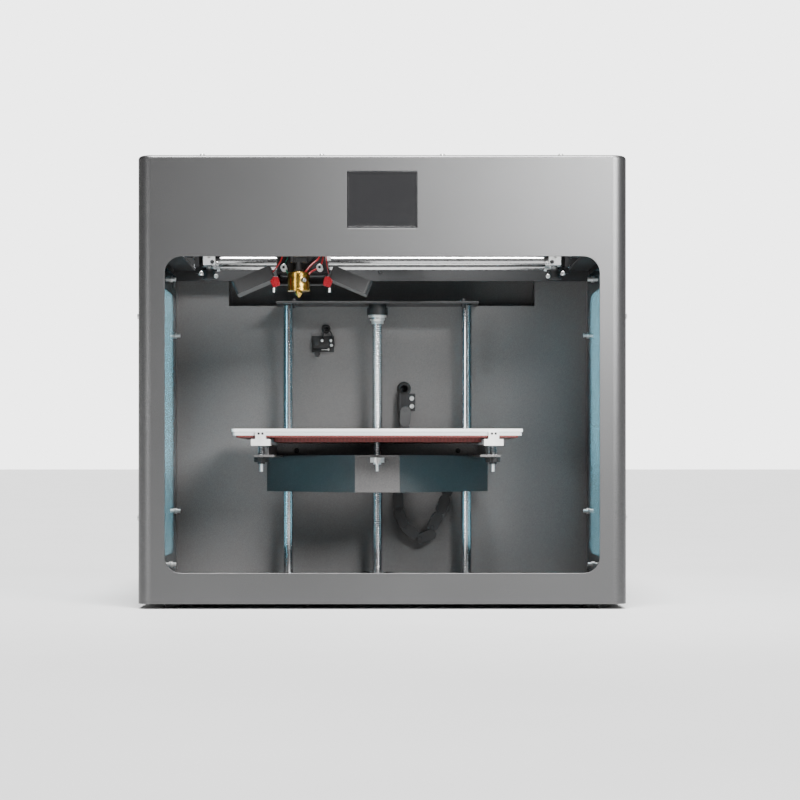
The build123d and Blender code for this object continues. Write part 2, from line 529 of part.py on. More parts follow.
with BuildPart() as rod_clamps:
    for side in (-1, 1):
        for y0, y1 in CLAMP_Y:
            slab(side * Y_ROD_X - 8, side * Y_ROD_X + 8, y0, y1, Y_ROD_Z - 7, Y_ROD_Z + 8)
            slab(side * (Y_ROD_X + 8), side * (Y_ROD_X + 12), y0, y1, Y_ROD_Z - 0.6, Y_ROD_Z + 3)
            rod_y(side * Y_ROD_X, y0 - 1, y1 + 1, Y_ROD_Z, Y_ROD_R + 0.02, Mode.SUBTRACT)
            slab(side * Y_ROD_X - 0.5, side * Y_ROD_X + 0.5, y0 - 1, y1 + 1, Y_ROD_Z + 3, Y_ROD_Z + 9,
                 Mode.SUBTRACT)
    for rod_at in Z_ROD_X:
        rod_z(rod_at, Z_Y, 14.0, BASE_TOP, BASE_TOP + 3.0)
        rod_z(rod_at, Z_Y, 9.0, BASE_TOP + 3.0, BASE_TOP + 7.5)
        rod_z(rod_at, Z_Y, Z_ROD_R + 0.02, BASE_TOP - 1, BASE_TOP + 9, Mode.SUBTRACT)
    # Brackets that carry the drive shaft and the idler pins on the upper frame.
    for side in (-1, 1):
        x_in = side * (Y_BELT_X - 17.0)
        slab(x_in - 2, x_in + 2, Y_SHAFT_Y - 9, Z_Y, Y_SHAFT_Z - 9, CROSS_Z1)
        rod_x(x_in - 3, x_in + 3, Y_SHAFT_Y, Y_SHAFT_Z, SHAFT_R + RUN, Mode.SUBTRACT)
        x_out = side * (Y_BELT_X - 7.5)
        pin_end = side * (Y_BELT_X + 5.5)
        slab(x_out - 1, x_out + 1, Y_IDLER_Y - 8, Y_IDLER_Y + 8, SHELF_Z + 2.0, Y_SHAFT_Z + 6)
        rod_x(x_out, pin_end, Y_IDLER_Y, Y_SHAFT_Z, IDLER_PIN_R)
        rod_x(x_out, x_out - side * 3, Y_IDLER_Y, Y_SHAFT_Z, 2.6)
    slab(40.0, 42.0, Y_SHAFT_Y - 20, Z_Y, Y_SHAFT_Z - 20, CROSS_Z1)
    rod_x(39, 43, Y_SHAFT_Y, Y_SHAFT_Z, 11.2, Mode.SUBTRACT)
save(rod_clamps, "rod_clamps")

with BuildPart() as z_screw_bearings:
    rod_z(Z_X, Z_Y, 8.8, Z_PLATE_Z - 3.6, Z_PLATE_Z)
    rod_z(Z_X, Z_Y, 10.2, 266.6, Z_PLATE_Z - 3.6)
    rod_z(Z_X, Z_Y, SCREW_R + RUN, 266.0, Z_PLATE_Z + 1, Mode.SUBTRACT)
    rod_z(Z_X, Z_Y, 6.9, FOOT_H - 0.8, BASE_TOP + 0.6)
    rod_z(Z_X, Z_Y, SCREW_R + RUN, FOOT_H, BASE_TOP + 2, Mode.SUBTRACT)
save(z_screw_bearings, "z_screw_bearings")

with BuildPart() as lead_screw:
    rod_z(Z_X, Z_Y, SCREW_R, FOOT_H + 0.3, Z_PLATE_Z + 2.5)
    rod_z(Z_X, Z_Y, THREAD_R, THREAD_Z0, THREAD_Z1)
    rod_z(Z_X, Z_Y, 4.7, THREAD_Z1, 262.4)
    rod_z(Z_X, Z_Y, 7.2, 262.4, 266.3)
    z_pulley_plane = Plane((Z_X, Z_Y, Z_BELT_Z + BELT_W / 2))
    add(pulley(z_pulley_plane, BELT_W, SCREW_R - 0.01).part)
save(lead_screw, "lead_screw")

with BuildPart() as drive_belts:
    for side in (-1, 1):
        loop_plane = Plane((side * Y_BELT_X, Y_IDLER_Y, Y_SHAFT_Z), x_dir=(0, 1, 0), z_dir=(1, 0, 0))
        add(belt(loop_plane, Y_SHAFT_Y - Y_IDLER_Y, BELT_W - BELT_LIP).part)
    add(belt(Plane((Z_X, Z_Y, Z_BELT_Z + BELT_W / 2), x_dir=(0, 1, 0)), Z_MOTOR_Y - Z_Y,
             BELT_W - BELT_LIP).part)
save(drive_belts, "drive_belts")

Z_MOTOR_FACE = 18.0
with BuildPart() as z_motor:
    add(stepper(Plane((Z_X, Z_MOTOR_Y, Z_MOTOR_FACE), z_dir=(0, 0, -1)), 40.0, 3.0).part)
    rod_z(Z_X, Z_MOTOR_Y, SHAFT_R + RUN, 0.0, Z_MOTOR_FACE + 30, Mode.SUBTRACT)
    slab(Z_X - 24, Z_X + 24, Z_MOTOR_Y - 22, Z_MOTOR_Y + 22, 15.9, Z_MOTOR_FACE)
    slab(Z_X - 24, Z_X - 22, Z_MOTOR_Y - 22, Z_MOTOR_Y + 22, BASE_TOP, Z_MOTOR_FACE)
    slab(Z_X + 22, Z_X + 24, Z_MOTOR_Y - 22, Z_MOTOR_Y + 22, BASE_TOP, Z_MOTOR_FACE)
    rod_z(Z_X, Z_MOTOR_Y, 3.6, 14.0, Z_MOTOR_FACE, Mode.SUBTRACT)

with BuildPart() as y_motor:
    face_plane = Plane((Y_MOTOR_X, Y_SHAFT_Y, Y_SHAFT_Z), x_dir=(0, 1, 0), z_dir=(1, 0, 0))
    add(stepper(face_plane, Y_MOTOR_L, 4.0).part)
    rod_x(Y_MOTOR_X - 60, Y_MOTOR_X + 60, Y_SHAFT_Y, Y_SHAFT_Z, SHAFT_R + RUN, Mode.SUBTRACT)

with BuildPart() as axis_motors:
    add(z_motor.part)
    add(y_motor.part)
save(axis_motors, "axis_motors")

with BuildPart() as z_motor_pulley:
    rod_z(Z_X, Z_MOTOR_Y, SHAFT_R, BASE_TOP + 0.5, Z_MOTOR_FACE + 28)
    add(pulley(Plane((Z_X, Z_MOTOR_Y, Z_BELT_Z + BELT_W / 2)), BELT_W, SHAFT_R - 0.01).part)
save(z_motor_pulley, "z_motor_pulley")

# Stop switch for the bed on the back wall, with its sprung lever.
STOP_Z = 240.0
with BuildPart() as z_endstop_switch:
    slab(-69, -47, WALL_Y - 2, WALL_Y, STOP_Z - 8, STOP_Z + 8)
    slab(-67, -51, WALL_Y - 9, WALL_Y - 2, STOP_Z - 4, STOP_Z + 5)
    slab(-51, -46.5, WALL_Y - 8, WALL_Y - 2, STOP_Z - 2, STOP_Z + 4)
    for screw_x in (-64.0, -54.5):
        rod_y(screw_x, WALL_Y - 10.6, WALL_Y - 9, STOP_Z + 0.5, 2.0)
    rod_y(-63.5, WALL_Y - 12, WALL_Y, STOP_Z - 10.0, 2.6)
save(z_endstop_switch, "z_endstop_switch")

LEVER_X, LEVER_Y, LEVER_Z = -52.5, WALL_Y - 5.5, STOP_Z - 5.6
with BuildPart() as endstop_lever:
    rod_y(LEVER_X, LEVER_Y - 2.5, LEVER_Y + 2.5, LEVER_Z, 1.0)
    slab(LEVER_X - 7.0, LEVER_X, LEVER_Y - 2.0, LEVER_Y + 2.0, LEVER_Z - 0.4, LEVER_Z + 0.2)
save(endstop_lever, "endstop_lever")


# ================= bed and its carriage =================
BED_BACK = BED_FRONT + BED_D
ARM_FRONT = BED_FRONT - 2.0
BEARING_R = 9.5
BEARING_Z0 = 98.0
CLIP_X = (Z_X - EAR_X, Z_X + EAR_X)
KNOB_Y = BED_FRONT + 12.0
CENTRE_KNOB_Y = NOSE_Y - 11.0

with BuildPart() as z_carriage:
    # Folded skirt: a narrow nose in front and two slanted walls back to the rods.
    with BuildSketch(Plane.XY.offset(CARRIAGE_LOW)):
        with BuildLine():
            Polyline((Z_X - 20.5, NOSE_Y), (Z_X + 20.5, NOSE_Y), (Z_X + 107, Z_Y - 6), (Z_X + 107,
                                                                                        Z_Y - 4),
                     (Z_X + 104.4, Z_Y - 4), (Z_X + 18.6, NOSE_Y + 2), (Z_X - 18.6, NOSE_Y + 2),
                     (Z_X - 104.4, Z_Y - 4), (Z_X - 107, Z_Y - 4), (Z_X - 107, Z_Y - 6), close=True)
        make_face()
    extrude(amount=CARRIAGE_Z - CARRIAGE_LOW)
    # Top plate over the skirt.
    with BuildSketch(Plane.XY.offset(CARRIAGE_Z)):
        with BuildLine():
            Polyline((Z_X - 20.5, NOSE_Y), (Z_X + 20.5, NOSE_Y), (Z_X + 107, Z_Y - 6), (Z_X + 107,
                                                                                        Z_Y + 12),
                     (Z_X - 107, Z_Y + 12), (Z_X - 107, Z_Y - 6), close=True)
        make_face()
        with Locations((Z_X, NOSE_Y - 7)):
            Rectangle(37.5, 14.2)
        for side in (-1, 1):
            with Locations((Z_X + side * ARM_X, (ARM_FRONT + Z_Y) / 2)):
                Rectangle(14.0, Z_Y - ARM_FRONT)
            with Locations((Z_X + side * EAR_X, KNOB_Y)):
                Rectangle(13.0, 16.0)
            with Locations((Z_X + side * Z_ROD_SPREAD, Z_Y)):
                Circle(BEARING_R - 1.5, mode=Mode.SUBTRACT)
            with Locations((Z_X + side * EAR_X, KNOB_Y)):
                Circle(1.9, mode=Mode.SUBTRACT)
        with Locations((Z_X, Z_Y)):
            Circle(8.0, mode=Mode.SUBTRACT)
        with Locations((Z_X, CENTRE_KNOB_Y)):
            Circle(1.9, mode=Mode.SUBTRACT)
    extrude(amount=2.0)
    # Side arms stand on edge, with the rear upright between them.
    for side in (-1, 1):
        arm_x = Z_X + side * ARM_X
        slab(arm_x - 1, arm_x + 1, ARM_FRONT + 24, Z_Y - 12, CARRIAGE_Z + 2, 139.5)
    slab(Z_X - ARM_X, Z_X + ARM_X, Z_Y - 14, Z_Y - 12, CARRIAGE_Z + 2, 144.0)
save(z_carriage, "z_carriage")

with BuildPart() as carriage_bearings:
    for side in (-1, 1):
        rod_at = Z_X + side * Z_ROD_SPREAD
        rod_z(rod_at, Z_Y, BEARING_R, BEARING_Z0, CARRIAGE_Z)
        rod_z(rod_at, Z_Y, BEARING_R + 2.0, CARRIAGE_Z - 4, CARRIAGE_Z)
        rod_z(rod_at, Z_Y, Z_ROD_R + RUN, BEARING_Z0 - 1, CARRIAGE_Z + 1, Mode.SUBTRACT)
    rod_z(Z_X, Z_Y, 11.0, CARRIAGE_Z - 3.5, CARRIAGE_Z)
    rod_z(Z_X, Z_Y, 7.0, CARRIAGE_Z - 15, CARRIAGE_Z - 3.5)
    with Locations((Z_X, Z_Y, CARRIAGE_Z)):
        with PolarLocations(9.0, 4, 45):
            Cylinder(1.2, 40.0, mode=Mode.SUBTRACT)
    rod_z(Z_X, Z_Y, THREAD_TIP_R + RUN, CARRIAGE_Z - 16, CARRIAGE_Z + 1, Mode.SUBTRACT)
save(carriage_bearings, "carriage_bearings")

HEATER_TOP = BED_Z + HEATER_T
PAD_HALF_W, PAD_T = 94.0, 3.8
PLATE_TOP = HEATER_TOP + PLATE_T
STUD_PLACES = [(x, KNOB_Y) for x in CLIP_X] + [(Z_X, CENTRE_KNOB_Y)]
with BuildPart() as heated_bed:
    slab(Z_X - 125, Z_X + 125, BED_FRONT + 1, BED_BACK - 3, BED_Z, HEATER_TOP)
    # Insulation under the heater, clear of the arms, the screws and the rear upright.
    slab(Z_X - PAD_HALF_W, Z_X + PAD_HALF_W, BED_FRONT + 33, BED_BACK - 9, BED_Z - PAD_T, BED_Z)
    fillet(edges().filter_by(Axis.Z), 3.0)
    rod_z(Z_X, CENTRE_KNOB_Y, 5.0, BED_Z - PAD_T - 1, BED_Z, Mode.SUBTRACT)
save(heated_bed, "heated_bed")

with BuildPart() as build_plate:
    slab(Z_X - BED_W / 2 + 1, Z_X + BED_W / 2 - 1, BED_FRONT + 0.5, BED_BACK, HEATER_TOP, PLATE_TOP)
    fillet(edges().filter_by(Axis.Z), 3.0)
save(build_plate, "build_plate")

with BuildPart() as glass_plate:
    slab(Z_X - BED_W / 2, Z_X + BED_W / 2, BED_FRONT, BED_BACK, PLATE_TOP + 0.2, PLATE_TOP + GLASS_T)
    fillet(edges().filter_by(Axis.Z), 3.0)
save(glass_plate, "glass_plate")

with BuildPart() as bed_clips:
    for clip_x in CLIP_X:
        slab(clip_x - 4.7, clip_x + 4.7, BED_FRONT - 3.0, BED_FRONT - 0.2, 142.0, 150.2)
        slab(clip_x - 8.5, clip_x + 8.5, BED_FRONT - 3.0, BED_FRONT + 20.0, 138.0, 143.8)
        slab(clip_x - 4.7, clip_x + 4.7, BED_FRONT - 3.0, BED_FRONT + 20.0, 143.8, BED_Z)
        rod_z(clip_x, KNOB_Y, 1.9, 130.0, 150.0, Mode.SUBTRACT)
        for pin_x in (-1.65, 1.65):
            rod_y(clip_x + pin_x, BED_FRONT - 3.5, BED_FRONT - 2.0, 148.7, 0.7, Mode.SUBTRACT)
save(bed_clips, "bed_clips")

STUD_TIP = 115.0
with BuildPart() as levelling_screws:
    for stud_x, stud_y in STUD_PLACES:
        rod_z(stud_x, stud_y, M3_R, STUD_TIP, BED_Z)
    rod_z(Z_X, CENTRE_KNOB_Y, 3.4, BED_Z - 2.4, BED_Z)
save(levelling_screws, "levelling_screws")

SPRING_R, WIRE_R = 3.0, 0.5
with BuildPart() as levelling_springs:
    for stud_x, stud_y in STUD_PLACES:
        spring_top = 137.9 if stud_y == KNOB_Y else BED_Z - 2.6
        with Locations((stud_x, stud_y, CARRIAGE_Z + 2.0)):
            Cylinder(SPRING_R, spring_top - CARRIAGE_Z - 2.0, align=(Align.CENTER, Align.CENTER,
                                                                     Align.MIN))
        rod_z(stud_x, stud_y, SPRING_R - 2 * WIRE_R, CARRIAGE_Z, BED_Z, Mode.SUBTRACT)
save(levelling_springs, "levelling_springs")
SIDE_KNOB_R, CENTRE_KNOB_R = 6.5, 6.5


def knob(centre, radius, z0, z1, ribs):
    """A ribbed nut-like knob that hangs on a levelling screw."""
    with BuildPart() as wheel:
        with BuildSketch(Plane((*centre, z0))):
            Circle(radius)
            with PolarLocations(radius, ribs):
                Circle(0.5, mode=Mode.SUBTRACT)
        extrude(amount=z1 - z0)
        rod_z(*centre, radius * 0.55, z0 - 1.6, z0)
        rod_z(*centre, M3_R + RUN, z0 - 5, z1 + 5, Mode.SUBTRACT)
    return wheel


save(knob(STUD_PLACES[0], SIDE_KNOB_R, 123.5, 127.7, 18), "knob_left")
save(knob(STUD_PLACES[1], SIDE_KNOB_R, 123.5, 127.7, 18), "knob_right")
save(knob(STUD_PLACES[2], CENTRE_KNOB_R, 123.0, 127.7, 22), "knob_centre")


# ================= gantry =================
END_Y0, END_Y1 = -97.0, -35.0
PULLEY_X, X_BELT_Y = 153.0, -66.0
X_MOTOR_FACE = 325.0

with BuildPart() as gantry_blocks:
    for side in (-1, 1):
        for rod_y_at in X_ROD_Y:
            slab(side * BLOCK_X0, side * BLOCK_X1, rod_y_at - 8, rod_y_at + 8, X_ROD_Z - 4.5,
                 X_ROD_Z + 5.5)
            rod_x(side * (BLOCK_X0 - 1), side * (BLOCK_X1 - 2), rod_y_at, X_ROD_Z, X_ROD_R + 0.02,
                  Mode.SUBTRACT)
            rod_y(side * (BLOCK_X0 + BLOCK_X1) / 2, rod_y_at - 9, rod_y_at - 4.5, X_ROD_Z + 2.2, 1.3,
                  Mode.SUBTRACT)
save(gantry_blocks, "gantry_blocks")

with BuildPart() as x_rods:
    for rod_y_at in X_ROD_Y:
        rod_x(-BLOCK_X1 + 2.2, BLOCK_X1 - 2.2, rod_y_at, X_ROD_Z, X_ROD_R)
save(x_rods, "x_rods")

BLOCK_TOP = X_ROD_Z + 5.5


def gantry_end(side):
    """Black end of the gantry: sleeve on the Y rod, top plate over the blocks, belt clamp."""
    with BuildPart() as end:
        slab(side * (Y_ROD_X - 8.5), side * (Y_ROD_X + 8.5), END_Y0, END_Y1, Y_ROD_Z - 2.2, Y_ROD_Z + 9)
        slab(side * (Y_ROD_X - 8.5), side * (Y_ROD_X - 4.5), END_Y0, END_Y1, X_ROD_Z - 6, Y_ROD_Z)
        slab(side * 143.0, side * (Y_ROD_X - 8.5), END_Y0, END_Y1, BLOCK_TOP + 0.1, BLOCK_TOP + 3.6)
        rod_y(side * Y_ROD_X, END_Y0 - 1, END_Y1 + 1, Y_ROD_Z, Y_ROD_R + RUN, Mode.SUBTRACT)
        slab(side * (Y_ROD_X + 4.2), side * (Y_BELT_X + 3), X_BELT_Y - 8, X_BELT_Y + 8, Y_ROD_Z + 5,
             Y_ROD_Z + 9)
        slab(side * (Y_BELT_X - 3), side * (Y_BELT_X + 3), X_BELT_Y - 8, X_BELT_Y + 8, Y_ROD_Z + 9,
             Y_SHAFT_Z - 8.4)
        slab(side * (Y_BELT_X - 3), side * (Y_BELT_X + 3), X_BELT_Y - 8, X_BELT_Y + 8,
             Y_SHAFT_Z - 6.2, Y_SHAFT_Z - 4.4)
        slab(side * (Y_BELT_X - 4.4), side * (Y_BELT_X - 3), X_BELT_Y - 8, X_BELT_Y + 8,
             Y_SHAFT_Z - 12, Y_SHAFT_Z - 4.4)
        rod_z(side * PULLEY_X, X_BELT_Y, 5.0, BLOCK_TOP - 1, BLOCK_TOP + 5, Mode.SUBTRACT)
        # Dark post with a round collar under the front block.
        rod_z(side * 152.7, X_ROD_Y[0], 6.6, 285.5, 287.0)
        rod_z(side * 152.7, X_ROD_Y[0], 5.2, 287.0, 292.6)
        rod_z(side * 152.7, X_ROD_Y[0], 6.6, 292.6, 294.0)
        rod_z(side * 152.7, X_ROD_Y[0], 2.6, 294.0, 297.4)
        slab(side * (Y_ROD_X - 18), side * (Y_ROD_X - 4.5), X_ROD_Y[0] + 2, X_ROD_Y[0] + 5, 291.0, 296.5)
        if side < 0:
            for post_y in (X_BELT_Y - 15.5, X_BELT_Y + 15.5):
                rod_z(side * 149.0, post_y, 3.5, BLOCK_TOP + 3.6, X_MOTOR_FACE - 3)
            with Locations((-152.0, X_BELT_Y, X_MOTOR_FACE - 1.5)):
                Box(42.0, 42.0, 3.0)
            rod_z(-PULLEY_X, X_BELT_Y, 11.3, X_MOTOR_FACE - 4, X_MOTOR_FACE + 1, Mode.SUBTRACT)
        else:
            rod_z(PULLEY_X, X_BELT_Y, 1.5, X_ROD_Z - 7.0, BLOCK_TOP + 5.6)
            rod_z(PULLEY_X, X_BELT_Y, 5.4, BLOCK_TOP + 2.0, BLOCK_TOP + 5.6)
    return end


with BuildPart() as gantry_ends:
    for side in (-1, 1):
        add(gantry_end(side).part)
save(gantry_ends, "gantry_ends")


with BuildPart() as x_motor:
    add(stepper(Plane((-PULLEY_X, X_BELT_Y, X_MOTOR_FACE), z_dir=(0, 0, -1)), 34.0, 3.0).part)
    rod_z(-PULLEY_X, X_BELT_Y, SHAFT_R + RUN, X_MOTOR_FACE - 5, X_MOTOR_FACE + 30, Mode.SUBTRACT)
save(x_motor, "x_motor")

with BuildPart() as x_drive_pulley:
    rod_z(-PULLEY_X, X_BELT_Y, SHAFT_R, X_ROD_Z - 5.0, X_MOTOR_FACE + 26)
    add(pulley(Plane((-PULLEY_X, X_BELT_Y, X_ROD_Z)), BELT_W, SHAFT_R - 0.01).part)
save(x_drive_pulley, "x_drive_pulley")

with BuildPart() as x_idler_pulley:
    add(pulley(Plane((PULLEY_X, X_BELT_Y, X_ROD_Z)), BELT_W, IDLER_PIN_R + RUN).part)
save(x_idler_pulley, "x_idler_pulley")

with BuildPart() as x_belt:
    add(belt(Plane((-PULLEY_X, X_BELT_Y, X_ROD_Z)), 2 * PULLEY_X, BELT_W - BELT_LIP).part)
save(x_belt, "x_belt")


# ================= print head =================
HEAD_X0, HEAD_X1 = HEAD_X - 22.0, HEAD_X + 22.0
BLOCK_Y0, BLOCK_Y1 = -97.0, -34.0
with BuildPart() as head_block:
    slab(HEAD_X0, HEAD_X1, BLOCK_Y0, BLOCK_Y1, X_ROD_Z - 7.0, X_ROD_Z + 12.0)
    fillet(edges().filter_by(Axis.X).group_by(Axis.Z)[0], 2.0)
    for rod_y_at in X_ROD_Y:
        rod_x(HEAD_X0 - 1, HEAD_X1 + 1, rod_y_at, X_ROD_Z, X_ROD_R + RUN, Mode.SUBTRACT)
    slab(HEAD_X0 - 1, HEAD_X1 + 1, X_BELT_Y - 10, X_BELT_Y + 10, X_ROD_Z - 8, X_ROD_Z + 4, Mode.SUBTRACT)
    slab(HEAD_X0 + 4, HEAD_X1 - 4, X_BELT_Y - 5.4, X_BELT_Y + 5.4, X_ROD_Z - 4, X_ROD_Z + 4.5)
save(head_block, "head_block")

FACE_Y = HEAD_MOTOR_FACE
with BuildPart() as head_plate:
    # Folded plate between the motor and the block, with a lower tongue behind the heater.
    slab(HEAD_X0, HEAD_X1, BLOCK_Y0 - 1.6, BLOCK_Y0 - 0.1, 279.5, X_ROD_Z + 12.0)
    slab(HEAD_X0, HEAD_X1, BLOCK_Y0 - 8.0, BLOCK_Y0 - 1.6, 279.5, 281.0)
    for side in (-1, 1):
        arm_x = HEAD_X + side * 21.3
        slab(arm_x, arm_x + side * 1.0, FACE_Y - 3.0, BLOCK_Y0 - 0.1, 281.0, X_ROD_Z + 26.0)
        slab(arm_x, arm_x - side * 13.0, FACE_Y - 3.0, FACE_Y - 0.1, 288.2, 296.0)
        rod_y(HEAD_X + side * MOTOR_HOLES / 2, FACE_Y - 4, FACE_Y + 1, HEAD_MOTOR_Z - MOTOR_HOLES / 2,
              1.7, Mode.SUBTRACT)
save(head_plate, "head_plate")

HEAD_AXLE_Y0 = FACE_Y - 13.0
with BuildPart() as extruder_motor:
    with BuildSketch(Plane((HEAD_X, FACE_Y, HEAD_MOTOR_Z), x_dir=(1, 0, 0), z_dir=(0, -1, 0))):
        RectangleRounded(MOTOR_W, MOTOR_W, 4.0)
    extrude(amount=-HEAD_MOTOR_L)
    rod_y(HEAD_X, FACE_Y - 3.2, FACE_Y, HEAD_MOTOR_Z, 11.0)
    rod_y(HEAD_X, FACE_Y - 4, FACE_Y + 20, HEAD_MOTOR_Z, SHAFT_R + RUN, Mode.SUBTRACT)
save(extruder_motor, "extruder_motor")

with BuildPart() as extruder_gear:
    rod_y(HEAD_X, HEAD_AXLE_Y0, FACE_Y + 18, HEAD_MOTOR_Z, SHAFT_R)
    with BuildSketch(Plane((HEAD_X, HEAD_AXLE_Y0, HEAD_MOTOR_Z), x_dir=(-1, 0, 0), z_dir=(0, 1, 0))):
        Circle(5.0)
        with PolarLocations(5.0, 20):
            Circle(0.45, mode=Mode.SUBTRACT)
        Circle(SHAFT_R - 0.01, mode=Mode.SUBTRACT)
    extrude(amount=8.0)
save(extruder_gear, "extruder_gear")

# The filament runs down past the gear; a sprung roller on a lever presses it on.
FEED_X = HEAD_X - 6.4
IDLER_PIVOT_X = FEED_X - 8.0
PIVOT_Z = HEAD_MOTOR_Z + 16.0
PIVOT_R = 1.5
with BuildPart() as feed_body:
    slab(HEAD_X - 4, HEAD_X0 + 1, FACE_Y - 12.0, FACE_Y - 3.3, HEAD_MOTOR_Z + 20, HEAD_MOTOR_Z + 26)
    slab(HEAD_X0 + 0.3, HEAD_X0 + 1.5, FACE_Y - 12.0, FACE_Y - 3.3, 297.0, HEAD_MOTOR_Z + 20)
    slab(IDLER_PIVOT_X - 2, IDLER_PIVOT_X + 2, FACE_Y - 6.4, FACE_Y - 3.3, PIVOT_Z - 2,
         HEAD_MOTOR_Z + 20)
    slab(HEAD_X - 9.8, HEAD_X + 4.0, FACE_Y - 12.0, FACE_Y - 3.3, 296.4, HEAD_MOTOR_Z - 5.6)
    rod_z(FEED_X, HOTEND_Y, 1.1, 290.0, HEAD_MOTOR_Z + 40, Mode.SUBTRACT)
    rod_y(IDLER_PIVOT_X, FACE_Y - 14.4, FACE_Y - 6.0, PIVOT_Z, PIVOT_R)

with BuildPart() as idler_lever:
    slab(IDLER_PIVOT_X - 2.6, IDLER_PIVOT_X + 2.6, HOTEND_Y - 2, HOTEND_Y + 2, HEAD_MOTOR_Z - 4, PIVOT_Z)
    rod_y(IDLER_PIVOT_X, HOTEND_Y - 2, HOTEND_Y + 2, PIVOT_Z, 3.0)
    rod_y(IDLER_PIVOT_X + 0.2, HOTEND_Y - 2.2, HOTEND_Y + 2.2, HEAD_MOTOR_Z, 4.4)
    rod_y(IDLER_PIVOT_X, HOTEND_Y - 3, HOTEND_Y + 3, PIVOT_Z, PIVOT_R + RUN, Mode.SUBTRACT)
save(idler_lever, "idler_lever")

HEATER_R, HEATER_Z0, HEATER_Z1 = 9.6, 271.5, 287.6
with BuildPart() as heat_break:
    rod_z(HOTEND_X, HOTEND_Y, 2.4, HEATER_Z1, 296.3)
    rod_z(HOTEND_X, HOTEND_Y, 4.0, HEATER_Z1 + 1.2, HEATER_Z1 + 2.8)
    rod_z(HOTEND_X, HOTEND_Y, 1.0, HEATER_Z1 - 1, 298, Mode.SUBTRACT)
with BuildPart() as hotend_feed:
    add(feed_body.part)
    add(heat_break.part)
save(hotend_feed, "hotend_feed")

with BuildPart() as heater_block:
    rod_z(HOTEND_X, HOTEND_Y, HEATER_R, HEATER_Z0 + 1.6, HEATER_Z1)
    chamfer(edges().group_by(Axis.Z)[-1], 0.7)
    rod_z(HOTEND_X, HOTEND_Y, HEATER_R + 0.4, HEATER_Z0, HEATER_Z0 + 1.6)
    with Locations(Location((HOTEND_X + 4.5, HOTEND_Y - 6.5, 280.4), (90, 0, 32))):
        Cylinder(2.1, 14.0, mode=Mode.SUBTRACT)
    rod_z(HOTEND_X, HOTEND_Y, 3.1, HEATER_Z0 - 1, 275.0, Mode.SUBTRACT)
save(heater_block, "heater_block")

with BuildPart() as nozzle:
    rod_z(HOTEND_X, HOTEND_Y, 3.08, 269.6, 274.9)
    with Locations((HOTEND_X, HOTEND_Y, 269.6)):
        Cone(3.08, 0.8, 3.4, rotation=(180, 0, 0), align=(Align.CENTER, Align.CENTER, Align.MIN))
    rod_z(HOTEND_X, HOTEND_Y, 0.2, 266.0, 275.0, Mode.SUBTRACT)
save(nozzle, "nozzle")

# Two slanted blowers, one each side of the heater.
BLOWER_L, BLOWER_T, BLOWER_D = 36.0, 12.4, 36.0
BLOWER_X, BLOWER_Z, BLOWER_Y, BLOWER_TILT = 41.8, 281.0, -122.0, 23.0


def blower_plane(side):
    """Mid plane of a blower: x down its slope, normal away from the head."""
    slope = math.radians(BLOWER_TILT)
    down = (side * math.cos(slope), 0, -math.sin(slope))
    up = (side * math.sin(slope), 0, math.cos(slope))
    return Plane((HEAD_X + side * BLOWER_X, BLOWER_Y, BLOWER_Z), x_dir=down, z_dir=up)


def blower(side):
    """Square blower case, open on top round its rotor and at its lower inner edge."""
    base = blower_plane(side)
    with BuildPart() as case:
        with BuildSketch(base.offset(-BLOWER_T / 2)):
            RectangleRounded(BLOWER_L, BLOWER_D, 3.0)
        extrude(amount=BLOWER_T)
        with BuildSketch(base.offset(BLOWER_T / 2)):
            Circle(BLOWER_D / 2 - 4.0)
        extrude(amount=-(BLOWER_T - 1.6), mode=Mode.SUBTRACT)
        with BuildSketch(base.offset(-BLOWER_T / 2 + 1.6)):
            with Locations((-BLOWER_L / 2 + 3, 0)):
                Rectangle(10.0, 24.0)
        extrude(amount=BLOWER_T - 4.0, mode=Mode.SUBTRACT)
        with BuildSketch(base.offset(-BLOWER_T / 2 + 1.5)):
            Circle(1.4)
        extrude(amount=6.0)
    return case


with BuildPart() as part_blowers:
    for side in (-1, 1):
        add(blower(side).part)
save(part_blowers, "part_blowers")
for rotor_side, rotor_name in ((-1, "blower_rotor_left"), (1, "blower_rotor_right")):
    rotor_plane = blower_plane(rotor_side).offset(-BLOWER_T / 2 + 2.0)
    save(fan_rotor(rotor_plane, 8.0, BLOWER_D / 2 - 4.8, 8.6, 11, 1.4 + RUN), rotor_name)

with BuildPart() as head_clamps:
    for side in (-1, 1):
        # Red bracket between the plate's arm and the blower, with a pointed lower end.
        with BuildSketch(Plane((HEAD_X, -140.3, 279.0), x_dir=(1, 0, 0), z_dir=(0, -1, 0))):
            with BuildLine():
                Polyline((side * 20.4, 4.5), (side * 24.0, 4.5), (side * 27.0, 0.5), (side * 24.4, -5.2),
                         (side * 18.6, -3.0), (side * 19.2, 1.5), close=True)
            make_face()
        extrude(amount=3.0)
save(head_clamps, "head_clamps")

with BuildPart() as head_screws:
    for side in (-1, 1):
        screw_x, screw_z = HEAD_X + side * MOTOR_HOLES / 2, HEAD_MOTOR_Z - MOTOR_HOLES / 2
        rod_y(screw_x, FACE_Y - 6.0, FACE_Y - 3.0, screw_z, 2.75)
        rod_y(screw_x, FACE_Y - 3.0, FACE_Y - 0.1, screw_z, M3_R)
        with BuildSketch(Plane((screw_x, FACE_Y - 6.0, screw_z), x_dir=(1, 0, 0), z_dir=(0, -1, 0))):
            RegularPolygon(1.45, 6)
        extrude(amount=-1.6, mode=Mode.SUBTRACT)
        rod_z(HEAD_X + side * 24.0, -141.8, 1.1, 270.0, 273.7)
save(head_screws, "head_screws")


# ================= cable chain =================
LINK_PITCH, LINK_H, LINK_W = 16.5, 11.0, 14.0
CHAIN_Y = WALL_Y - 12.0

